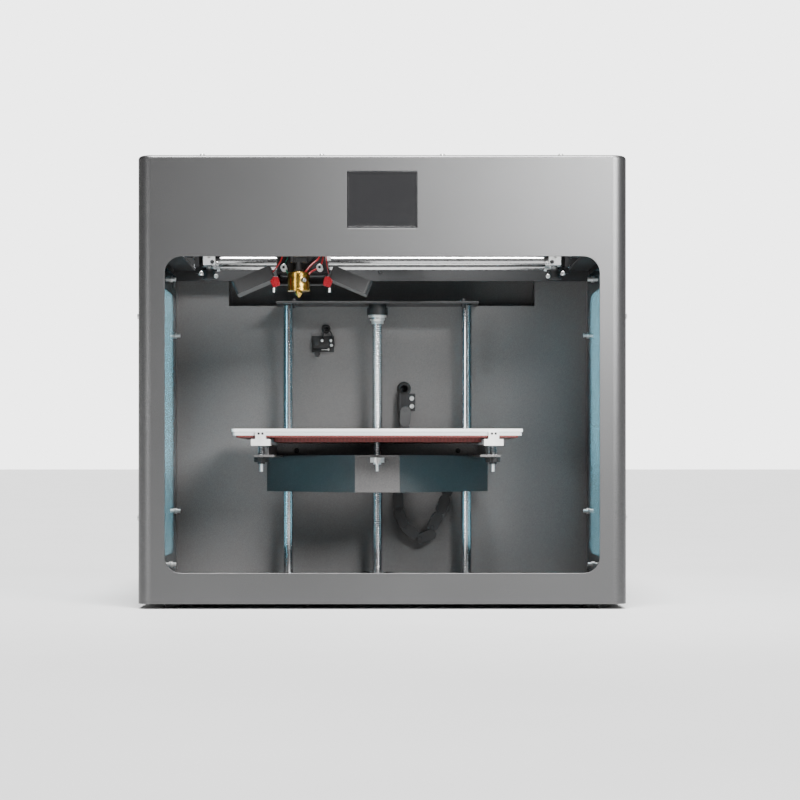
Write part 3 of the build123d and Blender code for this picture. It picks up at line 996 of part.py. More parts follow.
# Link centres as (x, z) from the wall bracket, down and round to the carriage.
LINK_PLACES = [(23.0, 168.0), (22.0, 151.5), (20.5, 135.0), (18.8, 118.6), (17.2, 102.2), (16.0, 85.8),
               (18.7, 69.6), (27.7, 56.0), (42.5, 50.3), (51.0, 64.0), (58.5, 78.5), (64.0, 94.0)]
with BuildPart() as cable_chain:
    for index, (link_x, link_z) in enumerate(LINK_PLACES):
        x_before, z_before = LINK_PLACES[max(index - 1, 0)]
        x_after, z_after = LINK_PLACES[min(index + 1, len(LINK_PLACES) - 1)]
        slope = math.degrees(math.atan2(z_after - z_before, x_after - x_before))
        with BuildSketch(Plane((link_x, CHAIN_Y + LINK_W / 2, link_z), x_dir=(1, 0, 0), z_dir=(0, -1,
                                                                                               0))):
            SlotCenterToCenter(LINK_PITCH - LINK_H - 0.8, LINK_H, rotation=slope)
        extrude(amount=LINK_W)
save(cable_chain, "cable_chain")
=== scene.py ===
import json
import math

import bmesh
import bpy
from mathutils import Matrix, Vector


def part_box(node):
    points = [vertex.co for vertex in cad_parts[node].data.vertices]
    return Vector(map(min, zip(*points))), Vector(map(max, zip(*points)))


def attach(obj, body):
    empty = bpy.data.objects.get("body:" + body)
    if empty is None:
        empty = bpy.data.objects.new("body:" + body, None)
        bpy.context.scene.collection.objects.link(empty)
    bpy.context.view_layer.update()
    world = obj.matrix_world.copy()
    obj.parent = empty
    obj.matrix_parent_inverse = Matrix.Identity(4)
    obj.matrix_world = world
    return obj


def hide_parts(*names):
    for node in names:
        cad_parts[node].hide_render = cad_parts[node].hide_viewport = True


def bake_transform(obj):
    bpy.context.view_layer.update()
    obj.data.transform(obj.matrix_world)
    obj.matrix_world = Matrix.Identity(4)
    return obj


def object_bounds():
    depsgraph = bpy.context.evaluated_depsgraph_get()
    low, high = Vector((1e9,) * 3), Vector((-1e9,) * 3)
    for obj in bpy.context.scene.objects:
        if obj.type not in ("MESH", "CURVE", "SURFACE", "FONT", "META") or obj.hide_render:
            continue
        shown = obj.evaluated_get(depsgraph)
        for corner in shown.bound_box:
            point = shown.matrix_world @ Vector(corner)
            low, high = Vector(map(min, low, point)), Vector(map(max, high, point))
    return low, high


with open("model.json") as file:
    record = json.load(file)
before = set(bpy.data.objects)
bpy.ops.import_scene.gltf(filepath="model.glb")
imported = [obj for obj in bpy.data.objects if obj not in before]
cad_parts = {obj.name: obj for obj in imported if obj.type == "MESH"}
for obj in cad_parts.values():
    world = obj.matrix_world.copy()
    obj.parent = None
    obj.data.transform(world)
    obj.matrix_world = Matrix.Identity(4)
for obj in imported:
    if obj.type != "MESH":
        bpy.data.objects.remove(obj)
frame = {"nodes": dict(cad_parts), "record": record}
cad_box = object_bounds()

MM = 0.001
NODES = frame["nodes"]

# ---------------------------------------------------------------- camera
CAMERA_X, CAMERA_Z = -2.7 * MM, 122.7 * MM
CAMERA_DISTANCE = 1.85
LENS = 99.0
SHIFT_X, SHIFT_Y = 0.02625, 0.07875
FRONT_Y = cad_box[0][1]


def make_camera():
    """Level camera in front of the machine, shifted up so that upright edges stay parallel."""
    data = bpy.data.cameras.new("camera")
    data.lens = LENS
    data.sensor_width = 36.0
    data.shift_x, data.shift_y = SHIFT_X, SHIFT_Y
    data.dof.use_dof = False
    camera = bpy.data.objects.new("camera", data)
    camera.location = (CAMERA_X, FRONT_Y - CAMERA_DISTANCE, CAMERA_Z)
    camera.rotation_euler = (math.pi / 2, 0, 0)
    bpy.context.collection.objects.link(camera)
    bpy.context.scene.camera = camera


# ---------------------------------------------------------------- materials
class Shader:
    """A Principled material whose nodes read object coordinates in metres."""

    def __init__(self, name):
        self.material = bpy.data.materials.new(name)
        self.material.use_nodes = True
        self.tree = self.material.node_tree
        self.bsdf = self.tree.nodes["Principled BSDF"]
        self.place = self.tree.nodes.new("ShaderNodeTexCoord").outputs["Object"]
        self.heights = []

    def link(self, output, socket):
        self.tree.links.new(output, socket)

    def set(self, **values):
        for key, value in values.items():
            self.bsdf.inputs[key.replace("_", " ")].default_value = value
        return self

    def stretched(self, scale):
        """Object coordinates scaled per axis."""
        mapping = self.tree.nodes.new("ShaderNodeMapping")
        mapping.inputs["Scale"].default_value = scale
        self.link(self.place, mapping.inputs["Vector"])
        return mapping.outputs["Vector"]

    def noise(self, scale, detail=3.0, roughness=0.6, stretch=None):
        node = self.tree.nodes.new("ShaderNodeTexNoise")
        node.inputs["Scale"].default_value = scale
        node.inputs["Detail"].default_value = detail
        node.inputs["Roughness"].default_value = roughness
        self.link(self.stretched(stretch) if stretch else self.place, node.inputs["Vector"])
        return node.outputs["Fac"]

    def cells(self, scale, feature="F1"):
        node = self.tree.nodes.new("ShaderNodeTexVoronoi")
        node.feature = feature
        node.inputs["Scale"].default_value = scale
        self.link(self.place, node.inputs["Vector"])
        return node.outputs["Distance"]

    def wave(self, scale, direction, distortion=0.0):
        node = self.tree.nodes.new("ShaderNodeTexWave")
        node.bands_direction = direction
        node.inputs["Scale"].default_value = scale
        node.inputs["Distortion"].default_value = distortion
        self.link(self.place, node.inputs["Vector"])
        return node.outputs["Fac"]

    def ramp(self, source, stops):
        """Colour ramp through (position, colour) stops."""
        node = self.tree.nodes.new("ShaderNodeValToRGB")
        ramp = node.color_ramp
        for index, (position, colour) in enumerate(stops):
            element = ramp.elements[index] if index < 2 else ramp.elements.new(position)
            element.position = position
            element.color = (*colour, 1.0)
        self.link(source, node.inputs["Fac"])
        return node.outputs["Color"]

    def mix(self, factor, first, second, mode="MIX"):
        node = self.tree.nodes.new("ShaderNodeMix")
        node.data_type = "RGBA"
        node.blend_type = mode
        for socket, value in ((node.inputs[0], factor), (node.inputs[6], first), (node.inputs[7], second)):
            if isinstance(value, bpy.types.NodeSocket):
                self.link(value, socket)
            elif isinstance(value, (tuple, list)):
                socket.default_value = (*value, 1.0)
            else:
                socket.default_value = value
        return node.outputs[2]

    def colour(self, output):
        self.link(output, self.bsdf.inputs["Base Color"])
        return self

    def rough(self, source, low, high):
        node = self.tree.nodes.new("ShaderNodeMapRange")
        node.inputs["To Min"].default_value = low
        node.inputs["To Max"].default_value = high
        self.link(source, node.inputs["Value"])
        self.link(node.outputs["Result"], self.bsdf.inputs["Roughness"])
        return self

    def relief(self, source, strength, distance):
        """Adds one bump layer, distance in metres."""
        self.heights.append((source, strength, distance))
        return self

    def done(self, edge=0.0):
        """Chains the bump layers on top of softened edges."""
        normal = None
        if edge:
            bevel = self.tree.nodes.new("ShaderNodeBevel")
            bevel.samples = 4
            bevel.inputs["Radius"].default_value = edge
            normal = bevel.outputs["Normal"]
        for source, strength, distance in self.heights:
            bump = self.tree.nodes.new("ShaderNodeBump")
            bump.inputs["Strength"].default_value = strength
            bump.inputs["Distance"].default_value = distance
            self.link(source, bump.inputs["Height"])
            if normal:
                self.link(normal, bump.inputs["Normal"])
            normal = bump.outputs["Normal"]
        if normal:
            self.link(normal, self.bsdf.inputs["Normal"])
        return self.material


def scaled(colour, factor):
    return tuple(min(1.0, channel * factor) for channel in colour)


def powder_coat(name, colour, metallic, low, high):
    """Fine-grained metallic powder coat with light and dark flecks."""
    s = Shader(name)
    flecks = s.noise(1900.0, 4.0, 0.75)
    grain = s.ramp(flecks, [(0.30, scaled(colour, 0.62)), (0.50, colour), (0.70, scaled(colour, 1.5))])
    clouds = s.noise(9.0, 2.0)
    tone = s.ramp(clouds, [(0.3, (0.93, 0.93, 0.93)), (0.7, (1.0, 1.0, 1.0))])
    s.colour(s.mix(1.0, grain, tone, "MULTIPLY"))
    s.set(Metallic=metallic, IOR=1.5)
    s.rough(s.noise(700.0), low, high)
    s.relief(s.noise(1300.0, 2.0), 0.35, 0.00012)
    return s.done(0.0006)


def machined(name, colour, low, high, stretch, scale=900.0, metallic=1.0, edge=0.0003, relief=0.18):
    """Bare metal with fine tool lines along one direction."""
    s = Shader(name)
    lines = s.noise(scale, 4.0, 0.7, stretch)
    s.colour(s.ramp(lines, [(0.25, scaled(colour, 0.82)), (0.75, scaled(colour, 1.08))]))
    s.set(Metallic=metallic)
    s.rough(lines, low, high)
    s.relief(lines, relief, 0.00005)
    return s.done(edge)


def moulded(name, colour, low, high, grain=1600.0, edge=0.0003):
    """Moulded plastic with a fine spark-eroded grain and slight mottling."""
    s = Shader(name)
    mottle = s.noise(60.0, 3.0)
    s.colour(s.ramp(mottle, [(0.3, scaled(colour, 0.8)), (0.7, scaled(colour, 1.2))]))
    s.rough(s.noise(grain), low, high)
    s.relief(s.cells(grain), 0.25, 0.00006)
    return s.done(edge)


def circuit_board(name):
    """Solder mask with faint tracks and pads."""
    s = Shader(name)
    tracks = s.cells(260.0, "DISTANCE_TO_EDGE")
    board = s.ramp(tracks, [(0.02, (0.10, 0.36, 0.16)), (0.07, (0.02, 0.13, 0.05))])
    pads = s.ramp(s.cells(420.0), [(0.10, (0.75, 0.72, 0.62)), (0.16, (0.0, 0.0, 0.0))])
    s.colour(s.mix(1.0, board, pads, "ADD"))
    s.rough(tracks, 0.25, 0.45)
    s.relief(tracks, 0.4, 0.0001)
    return s.done(0.0003)


def tinted_window(name):
    """Light blue clear acrylic with faint handling haze."""
    s = Shader(name)
    haze = s.noise(14.0, 3.0)
    s.colour(s.ramp(haze, [(0.3, (0.22, 0.53, 0.66)), (0.7, (0.26, 0.58, 0.70))]))
    s.set(Transmission_Weight=0.94, IOR=1.49, Metallic=0.0)
    s.rough(haze, 0.03, 0.09)
    s.relief(s.noise(40.0), 0.02, 0.0001)
    return s.done()


def dark_screen(name):
    """Dark touch panel with a faint sheen and dust."""
    s = Shader(name)
    dust = s.noise(900.0, 5.0, 0.8)
    s.colour(s.ramp(dust, [(0.45, (0.012, 0.012, 0.013)), (0.75, (0.022, 0.022, 0.022))]))
    s.set(IOR=1.5, Coat_Weight=0.3, Coat_Roughness=0.12)
    s.rough(s.noise(30.0), 0.13, 0.20)
    return s.done(0.0004)


def turned_brass(name):
    """Turned brass with fine rings and some heat tint."""
    s = Shader(name)
    rings = s.wave(420.0, "Z", 1.5)
    tint = s.noise(220.0, 3.0)
    base = s.ramp(tint, [(0.3, (0.26, 0.13, 0.015)), (0.55, (0.58, 0.35, 0.06)), (0.8, (0.74, 0.50, 0.12))])
    s.colour(s.mix(0.25, base, s.ramp(rings, [(0.2, (0.36, 0.20, 0.03)), (0.8, (0.74, 0.50, 0.13))])))
    s.set(Metallic=1.0)
    s.rough(tint, 0.16, 0.30)
    s.relief(rings, 0.2, 0.00006)
    return s.done(0.0003)


def heater_board(name):
    """Red solder-masked heater with its copper meander just visible."""
    s = Shader(name)
    meander = s.wave(90.0, "X", 2.0)
    s.colour(s.ramp(meander, [(0.35, (0.13, 0.022, 0.018)), (0.65, (0.18, 0.035, 0.03))]))
    s.rough(meander, 0.38, 0.5)
    s.relief(meander, 0.2, 0.0001)
    return s.done(0.0003)


def pale_plate(name, colour, low, high):
    """Pale coated plate with very light streaks and dust."""
    s = Shader(name)
    streaks = s.noise(35.0, 4.0, 0.7, (1.0, 6.0, 1.0))
    s.colour(s.ramp(streaks, [(0.3, scaled(colour, 0.94)), (0.7, scaled(colour, 1.03))]))
    s.rough(streaks, low, high)
    s.relief(s.noise(1500.0), 0.08, 0.00005)
    return s.done(0.0005)


STEEL = (0.74, 0.74, 0.75)
ALONG_X, ALONG_Y, ALONG_Z = (0.03, 1.0, 1.0), (1.0, 0.03, 1.0), (1.0, 1.0, 0.03)
ACROSS_Z = (0.15, 0.15, 3.0)


def make_materials():
    """One procedural material per record slot, and a few for extra pieces."""
    return {
        "paint_dark": powder_coat("paint_dark", (0.115, 0.115, 0.116), 1.0, 0.38, 0.46),
        "paint_inner": powder_coat("paint_inner", (0.14, 0.136, 0.135), 0.45, 0.48, 0.58),
        "paint_frame": powder_coat("paint_frame", (0.028, 0.028, 0.029), 0.4, 0.5, 0.6),
        "paint_carriage": powder_coat("paint_carriage", (0.15, 0.147, 0.146), 0.6, 0.42, 0.5),
        "black_metal": machined("black_metal", (0.035, 0.035, 0.037), 0.35, 0.5, ALONG_Z, 500.0, 0.6),
        "steel_rod": machined("steel_rod", STEEL, 0.12, 0.20, ACROSS_Z, 1200.0, relief=0.03),
        "zinc": machined("zinc", (0.78, 0.78, 0.77), 0.22, 0.38, (1.0, 1.0, 1.0), 1400.0, 0.75),
        "alu": machined("alu", (0.80, 0.80, 0.80), 0.28, 0.42, ALONG_Y, 1100.0),
        "dull_steel": machined("dull_steel", (0.46, 0.46, 0.46), 0.22, 0.32, ACROSS_Z, 1200.0, relief=0.03),
        "block_alu": machined("block_alu", (0.92, 0.92, 0.91), 0.38, 0.5, ALONG_Y, 1100.0, 0.45),
        "spring_steel": machined("spring_steel", (0.24, 0.24, 0.25), 0.25, 0.4, ALONG_X, 900.0),
        "brass": turned_brass("brass"),
        "black_plastic": moulded("black_plastic", (0.010, 0.010, 0.0105), 0.42, 0.58),
        "white_plastic": moulded("white_plastic", (0.82, 0.82, 0.80), 0.35, 0.5),
        "red_plastic": moulded("red_plastic", (0.20, 0.003, 0.008), 0.2, 0.35),
        "rubber": moulded("rubber", (0.014, 0.014, 0.014), 0.65, 0.8, 900.0),
        "belt_rubber": moulded("belt_rubber", (0.016, 0.016, 0.017), 0.6, 0.75, 1100.0),
        "wire_red": moulded("wire_red", (0.26, 0.008, 0.012), 0.25, 0.4),
        "wire_green": moulded("wire_green", (0.01, 0.16, 0.10), 0.3, 0.45),
        "chain": moulded("chain", (0.03, 0.03, 0.031), 0.35, 0.5, 1100.0),
        "window_blue": tinted_window("window_blue"),
        "screen": dark_screen("screen"),
        "circuit": circuit_board("circuit"),
        "heater_red": heater_board("heater_red"),
        "plate_white": pale_plate("plate_white", (0.74, 0.74, 0.73), 0.35, 0.5),
        "bed_glass": pale_plate("bed_glass", (0.88, 0.89, 0.88), 0.12, 0.25),
    }


# ---------------------------------------------------------------- helpers for extra pieces
FORWARD, UP = (0, -1, 0), (0, 0, 1)
FACING_FRONT = Matrix.Rotation(math.pi / 2, 4, "X")
AXIS_GAP = 0.01


def at(x, y, z):
    return Matrix.Translation((x, y, z))


def finish_piece(piece, material, body, smooth=True):
    """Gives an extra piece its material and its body."""
    piece.data.materials.append(material)
    if smooth and piece.type == "MESH":
        for polygon in piece.data.polygons:
            polygon.use_smooth = True
    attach(piece, body)
    return piece


def mesh_piece(name, bm):
    mesh = bpy.data.meshes.new(name)
    bmesh.ops.recalc_face_normals(bm, faces=bm.faces)
    bm.to_mesh(mesh)
    bm.free()
    piece = bpy.data.objects.new(name, mesh)
    bpy.context.collection.objects.link(piece)
    return piece


def tube_piece(name, points, radius, sides=10):
    """A smooth round tube along listed points, given in millimetres."""
    data = bpy.data.curves.new(name, "CURVE")
    data.dimensions = "3D"
    data.bevel_depth = radius * MM
    data.bevel_resolution = sides // 4
    data.use_fill_caps = True
    spline = data.splines.new("NURBS")
    spline.points.add(len(points) - 1)
    for point, place in zip(spline.points, points):
        point.co = (*(Vector(place) * MM), 1.0)
    spline.order_u = 3
    spline.use_endpoint_u = True
    spline.resolution_u = 8
    curve = bpy.data.objects.new(name, data)
    bpy.context.collection.objects.link(curve)
    mesh = bpy.data.meshes.new_from_object(curve.evaluated_get(bpy.context.evaluated_depsgraph_get()))
    bpy.data.objects.remove(curve)
    piece = bpy.data.objects.new(name, mesh)
    bpy.context.collection.objects.link(piece)
    return piece


def lathe(name, profile, centre, axis=UP, steps=40):
    """Turns a closed (radius, height) outline in millimetres about an axis through centre."""
    bm = bmesh.new()
    turn = Vector(UP).rotation_difference(Vector(axis)).to_matrix()
    rings = []
    for step in range(steps):
        angle = 2 * math.pi * step / steps
        ring = []
        for radius, height in profile:
            local = Vector((radius * math.cos(angle), radius * math.sin(angle), height))
            ring.append(bm.verts.new((Vector(centre) + turn @ local) * MM))
        rings.append(ring)
    for step in range(steps):
        one, two = rings[step], rings[(step + 1) % steps]
        for index in range(len(profile)):
            after = (index + 1) % len(profile)
            bm.faces.new((one[index], one[after], two[after], two[index]))
    bmesh.ops.remove_doubles(bm, verts=bm.verts, dist=1e-7)
    return mesh_piece(name, bm)


def prism(bm, outline, depth, place):
    """Adds a prism of a 2-D outline, centred on its depth, through the matrix place."""
    half = depth / 2
    low = [bm.verts.new(place @ Vector((x, y, -half)) * MM) for x, y in outline]
    high = [bm.verts.new(place @ Vector((x, y, half)) * MM) for x, y in outline]
    bm.faces.new(low[::-1])
    bm.faces.new(high)
    count = len(outline)
    for index in range(count):
        after = (index + 1) % count
        bm.faces.new((low[index], low[after], high[after], high[index]))


def disc(radius, count=24):
    turns = (2 * math.pi * index / count for index in range(count))
    return [(radius * math.cos(turn), radius * math.sin(turn)) for turn in turns]


def stadium(length, height, count=10):
    """Outline of a slot shape, its centres length apart."""
    radius = height / 2
    points = []
    for end in (1, -1):
        for index in range(count + 1):
            angle = -math.pi / 2 + math.pi * index / count
            points.append((end * (length / 2 + radius * math.cos(angle)), end * radius * math.sin(angle)))
    return points


def rectangle(width, height):
    x, y = width / 2, height / 2
    return [(-x, -y), (x, -y), (x, y), (-x, y)]


def bevelled(piece, width):
    modifier = piece.modifiers.new("edge", "BEVEL")
    modifier.width = width * MM
    modifier.segments = 2
    modifier.limit_method = "ANGLE"
    return piece


def helix(centre, radius, z0, z1, turns, per_turn=20):
    """Points of a helix about a vertical axis, in millimetres."""
    count = int(turns * per_turn)
    points = []
    for index in range(count + 1):
        share = index / count
        angle = 2 * math.pi * turns * share
        x = centre[0] + radius * math.cos(angle)
        y = centre[1] + radius * math.sin(angle)
        points.append((x, y, z0 + (z1 - z0) * share))
    return points


def centre_of(node):
    low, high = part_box(node)
    return [(low[axis] + high[axis]) / 2 / MM for axis in range(3)]


def cap_screw(name, place, axis, material, body, head=2.75, height=3.0):
    """Head of a socket screw, with a plain round socket."""
    rim = [(1.5, 0.0), (head - 0.15, 0.0), (head, 0.2), (head, height - 0.4), (head - 0.4, height)]
    socket = [(1.35, height), (1.25, height - 1.3), (AXIS_GAP, height - 1.3), (AXIS_GAP, 0.0)]
    screw = lathe(name, rim + socket, place, axis, 36)
    return finish_piece(screw, material, body, smooth=False)


def button(name, radius, height, place, sides):
    """A flat plug that faces the front."""
    profile = [(AXIS_GAP, 0.0), (radius, 0.0), (radius, height), (AXIS_GAP, height)]
    return lathe(name, profile, place, FORWARD, sides)


# ---------------------------------------------------------------- extra pieces
CLIP_X = {"left": -107.3, "right": 98.7}
CLIP_SCREW_Y = -83.0


def lead_screw_thread(materials):
    """Trapezoid ridge wound round the lead screw: one start, 2 mm apart, for its looks only."""
    x, y, _ = centre_of("z_screw_bearings")
    z0, z1, pitch, steps = 18.0, 256.0, 2.0, 24
    core, crest, half_root, half_crest = 4.5, 4.95, 0.72, 0.36
    outline = ((core, -half_root), (crest, -half_crest), (crest, half_crest), (core, half_root))
    bm = bmesh.new()
    previous = None
    for index in range(int((z1 - z0) / pitch * steps) + 1):
        angle = 2 * math.pi * index / steps
        z = z0 + pitch * index / steps
        ring = []
        for r, h in outline:
            corner = Vector((x + r * math.cos(angle), y + r * math.sin(angle), z + h))
            ring.append(bm.verts.new(corner * MM))
        if previous:
            for side in range(4):
                after = (side + 1) % 4
                bm.faces.new((previous[side], previous[after], ring[after], ring[side]))
        else:
            bm.faces.new(ring)
        previous = ring
    bm.faces.new(previous)
    return finish_piece(mesh_piece("lead_screw_thread", bm), materials["steel_rod"], "z_screw")


def springs(materials):
    """Three wound springs on the levelling screws."""
    radius, wire, foot = 2.6, 0.55, 130.3
    spans = [((x, CLIP_SCREW_Y), 137.6, 5) for x in CLIP_X.values()]
    spans.append((tuple(centre_of("knob_centre")[:2]), 142.6, 8))
    made = []
    for index, (place, top, turns) in enumerate(spans):
        spring = tube_piece(f"levelling_spring_{index + 1}", helix(place, radius, foot, top, turns), wire, 8)
        made.append(finish_piece(spring, materials["spring_steel"], "z_stage"))
    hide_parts("levelling_springs")
    return made


LINK_PLACES = [(23.0, 168.0), (22.0, 151.5), (20.5, 135.0), (18.8, 118.6), (17.2, 102.2), (16.0, 85.8),
               (18.7, 69.6), (27.7, 56.0), (43.5, 50.8), (52.3, 65.5), (60.0, 82.0), (65.5, 99.0)]
LINK_SHARES = [0.0, 0.06, 0.12, 0.18, 0.24, 0.30, 0.36, 0.42, 0.48, 0.63, 0.81, 1.0]
LINK_PITCH, LINK_HEIGHT, LINK_WIDTH = 16.5, 10.6, 13.4
LINK_OVERLAP, LINK_STEP = 3.4, 0.9


def chain_link(index, y):
    """One link: two cheeks, two cross bars and its rivet discs."""
    x, z = LINK_PLACES[index]
    x_before, z_before = LINK_PLACES[max(index - 1, 0)]
    x_after, z_after = LINK_PLACES[min(index + 1, len(LINK_PLACES) - 1)]
    turn = -math.atan2(z_after - z_before, x_after - x_before)
    bm = bmesh.new()
    place = at(x, y, z) @ Matrix.Rotation(turn, 4, "Y") @ FACING_FRONT
    cheek = stadium(LINK_PITCH - LINK_HEIGHT + LINK_OVERLAP, LINK_HEIGHT)
    half_width = LINK_WIDTH / 2 - (LINK_STEP if index % 2 else 0.0)
    for side in (-1, 1):
        prism(bm, cheek, 1.5, place @ at(0, 0, side * (half_width - 0.9)))
        prism(bm, disc(2.1), 0.8, place @ at(-LINK_PITCH / 2 + 1.6, 0, side * (half_width - 0.2)))
    for bar in (-1, 1):
        bar_place = place @ at(0, bar * (LINK_HEIGHT / 2 - 0.9), 0)
        prism(bm, rectangle(5.4, 1.4), LINK_WIDTH - 3.0, bar_place)
    return mesh_piece(f"chain_link_{index + 1}", bm)


def blend_link(link):
    """Bakes the link's placement into its mesh; it takes no share of the bed's travel."""
    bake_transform(link)


def cable_chain(materials):
    """The drag chain: the first link sits on the case, the last on the bed, and the links between stay where
    they are placed.
    """
    y = centre_of("cable_chain")[1]
    links = []
    for index, share in enumerate(LINK_SHARES):
        link = bevelled(chain_link(index, y), 0.25)
        link.data.materials.append(materials["chain"])
        if share in (0.0, 1.0):
            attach(link, "z_stage" if share else "case")
        else:
            blend_link(link)
        links.append(link)
    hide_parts("cable_chain")
    return links


def grommets(materials, wall_y):
    """Rubber rings in the two cable holes of the back wall."""
    ring = [(2.2, -0.5), (3.5, -0.5), (4.4, 0.2), (4.4, 1.2), (3.6, 1.9), (2.6, 1.9), (2.2, 1.2)]
    for name, x, z, size in (("sensor_grommet", -55.0, 255.0, 1.0), ("chain_grommet", 22.0, 196.0, 1.55)):
        grommet = lathe(name, [(r * size, h) for r, h in ring], (x, wall_y, z), FORWARD)
        finish_piece(grommet, materials["rubber"], "case")


def stop_wires(materials, wall_y):
    """Two wires of the stop switch."""
    stop_1 = [(-55.8, wall_y + 1.5, 255.4), (-55.9, wall_y - 3, 255.2), (-57.2, wall_y - 4, 252.0),
              (-57.8, wall_y - 4.5, 248.0), (-58.0, wall_y - 4.6, 245.2)]
    stop_2 = [(-54.2, wall_y + 1.5, 254.6), (-53.8, wall_y - 3, 254.6), (-50.4, wall_y - 4.5, 252.0),
              (-48.4, wall_y - 5, 248.5), (-49.2, wall_y - 5, 244.6)]
    for name, points in (("stop_wire_1", stop_1), ("stop_wire_2", stop_2)):
        finish_piece(tube_piece(name, points, 0.75), materials["rubber"], "case")


def bed_lead(materials, wall_y):
    """The lead that comes out of the wall and enters the cable chain."""
    chain_y = centre_of("cable_chain")[1]
    points = [(20.0, wall_y + 1.0, 196.0), (19.0, wall_y - 5, 195.6), (17.2, wall_y - 9, 191.0),
              (16.6, wall_y - 10, 184.0), (16.8, wall_y - 10, 174.0), (18.5, chain_y, 166.0),
              (21.0, chain_y, 158.0)]
    finish_piece(tube_piece("bed_lead_top", points, 1.6), materials["rubber"], "case")


def chain_bracket(materials, wall_y):
    """Angle bracket that holds the first chain link to the wall, with two screws."""
    chain_y = centre_of("cable_chain")[1]
    length, sheet, z = 17.0, 1.6, 182.5
    bm = bmesh.new()
    prism(bm, rectangle(15.0, length), sheet, at(25.5, wall_y - 0.9, z) @ FACING_FRONT)
    sideways = Matrix.Rotation(math.pi / 2, 4, "Y") @ Matrix.Rotation(math.pi / 2, 4, "Z")
    prism(bm, rectangle(12.0, length), sheet, at(18.0, (wall_y + chain_y) / 2 - 2, z) @ sideways)
    bracket = bevelled(mesh_piece("chain_bracket", bm), 0.3)
    finish_piece(bracket, materials["black_metal"], "case", smooth=False)
    for index, screw_z in enumerate((z - 3.9, z + 3.9)):
        place = (29.6, wall_y - 1.7, screw_z)
        cap_screw(f"chain_bracket_screw_{index + 1}", place, FORWARD, materials["zinc"], "case", 2.3, 2.2)


def wall_fittings(materials):
    """Everything on the inner back wall."""
    wall_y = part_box("z_endstop_switch")[1][1] / MM
    grommets(materials, wall_y)
    stop_wires(materials, wall_y)
    chain_bracket(materials, wall_y)
    bed_lead(materials, wall_y)


def gantry_details(materials):
    """Small screws on the gantry ends, a black disc on each block painted as the shade of its hole, and the
    collars below them.
    """
    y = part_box("gantry_ends")[0][1] / MM
    block_x, block_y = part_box("gantry_blocks")[1][0] / MM - 8.0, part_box("gantry_blocks")[0][1] / MM
    for side, word in ((-1, "left"), (1, "right")):
        for index, (x, z, size) in enumerate(((146.4, 287.4, 1.9), (159.4, 290.0, 1.9), (145.4, 298.6, 1.7))):
            profile = [(AXIS_GAP, 3.0), (0.8, 3.0), (0.9, 1.6), (size, 1.6), (size, 0.2),
                       (size - 0.3, 0.0), (0.8, 0.0), (0.7, 0.8), (AXIS_GAP, 0.8)]
            screw = lathe(f"gantry_screw_{word}_{index + 1}", profile, (side * x, y - 3.4, z), (0, 1, 0), 28)
            finish_piece(screw, materials["zinc"], "gantry", smooth=False)
        # The thin black disc on each block is painted shade for a hole in its face.
        socket = button(f"block_hole_shade_{word}", 1.8, 0.3, (side * block_x, block_y, 300.4), 28)
        finish_piece(socket, materials["black_plastic"], "gantry")
        ring = [(1.4, 0.0), (3.1, 0.0), (3.1, 2.6), (1.4, 2.6)]
        nut = lathe(f"collar_nut_{word}", ring, (side * 152.7, y + 7.0, 294.1), UP, 6)
        finish_piece(nut, materials["zinc"], "gantry", smooth=False)


def head_leads(materials, x, y):
    """Leads of the heater, its sensor and the two blowers, along listed routes."""
    leads = (
        ("heater_lead_1", "wire_red", 0.8,
         [(x + 5.4, y - 2, 283.0), (x + 8.4, y - 4, 285.4), (x + 11.0, y - 1, 288.4),
          (x + 15.5, y + 4, 291.0), (x + 20.5, y + 6, 295.5), (x + 21.5, y + 6, 305.0)]),
        ("heater_lead_2", "wire_red", 0.8,
         [(x + 4.4, y - 3, 286.4), (x + 6.8, y - 3, 288.8), (x + 8.6, y - 1, 291.6),
          (x + 12.5, y + 2, 296.0), (x + 18.5, y + 4, 300.5), (x + 19.5, y + 4, 310.0)]),
        ("sensor_lead", "wire_green", 0.55,
         [(x - 8.0, y + 4, 284.0), (x - 11.0, y + 2, 289.0), (x - 12.4, y + 1, 295.0),
          (x - 11.0, y + 6, 299.0), (x - 10.0, y + 12, 302.0)]),
        ("fan_lead_left", "wire_red", 0.6,
         [(x - 23.0, y + 2, 287.5), (x - 19.0, y - 2, 292.0), (x - 15.4, y - 3, 297.0),
          (x - 13.0, y - 2, 305.0), (x - 12.0, y, 314.0)]),
        ("fan_lead_right", "rubber", 0.7,
         [(x + 27.0, y + 2, 288.0), (x + 23.5, y - 1, 293.0), (x + 22.5, y - 1, 300.0),
          (x + 20.5, y, 310.0), (x + 19.0, y + 1, 320.0)]),
        ("fan_lead_right_red", "wire_red", 0.55,
         [(x + 26.0, y + 3, 287.0), (x + 24.4, y - 1.5, 292.5), (x + 24.0, y - 1.5, 300.0),
          (x + 22.0, y - 0.5, 310.0), (x + 20.5, y + 1, 320.0)]),
    )
    for name, material, radius, points in leads:
        finish_piece(tube_piece(name, points, radius), materials[material], "print_head")


def motor_screws(materials):
    """The two extruder motor screws that show below the motor, each with a black disc painted into its socket
    as shade.
    """
    plate_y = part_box("head_screws")[0][1] / MM
    z = 291.5
    for index, x in enumerate((-85.0, -54.0)):
        place = (x, plate_y + 0.3, z)
        cap_screw(f"motor_screw_{index + 1}", place, FORWARD, materials["zinc"], "print_head", 2.8, 1.2)
        # The thin black disc in each socket is painted shade for the hole.
        socket = button(f"motor_socket_shade_{index + 1}", 1.35, 0.1, (x, plate_y - 0.85, z), 6)
        finish_piece(socket, materials["black_plastic"], "print_head", smooth=False)


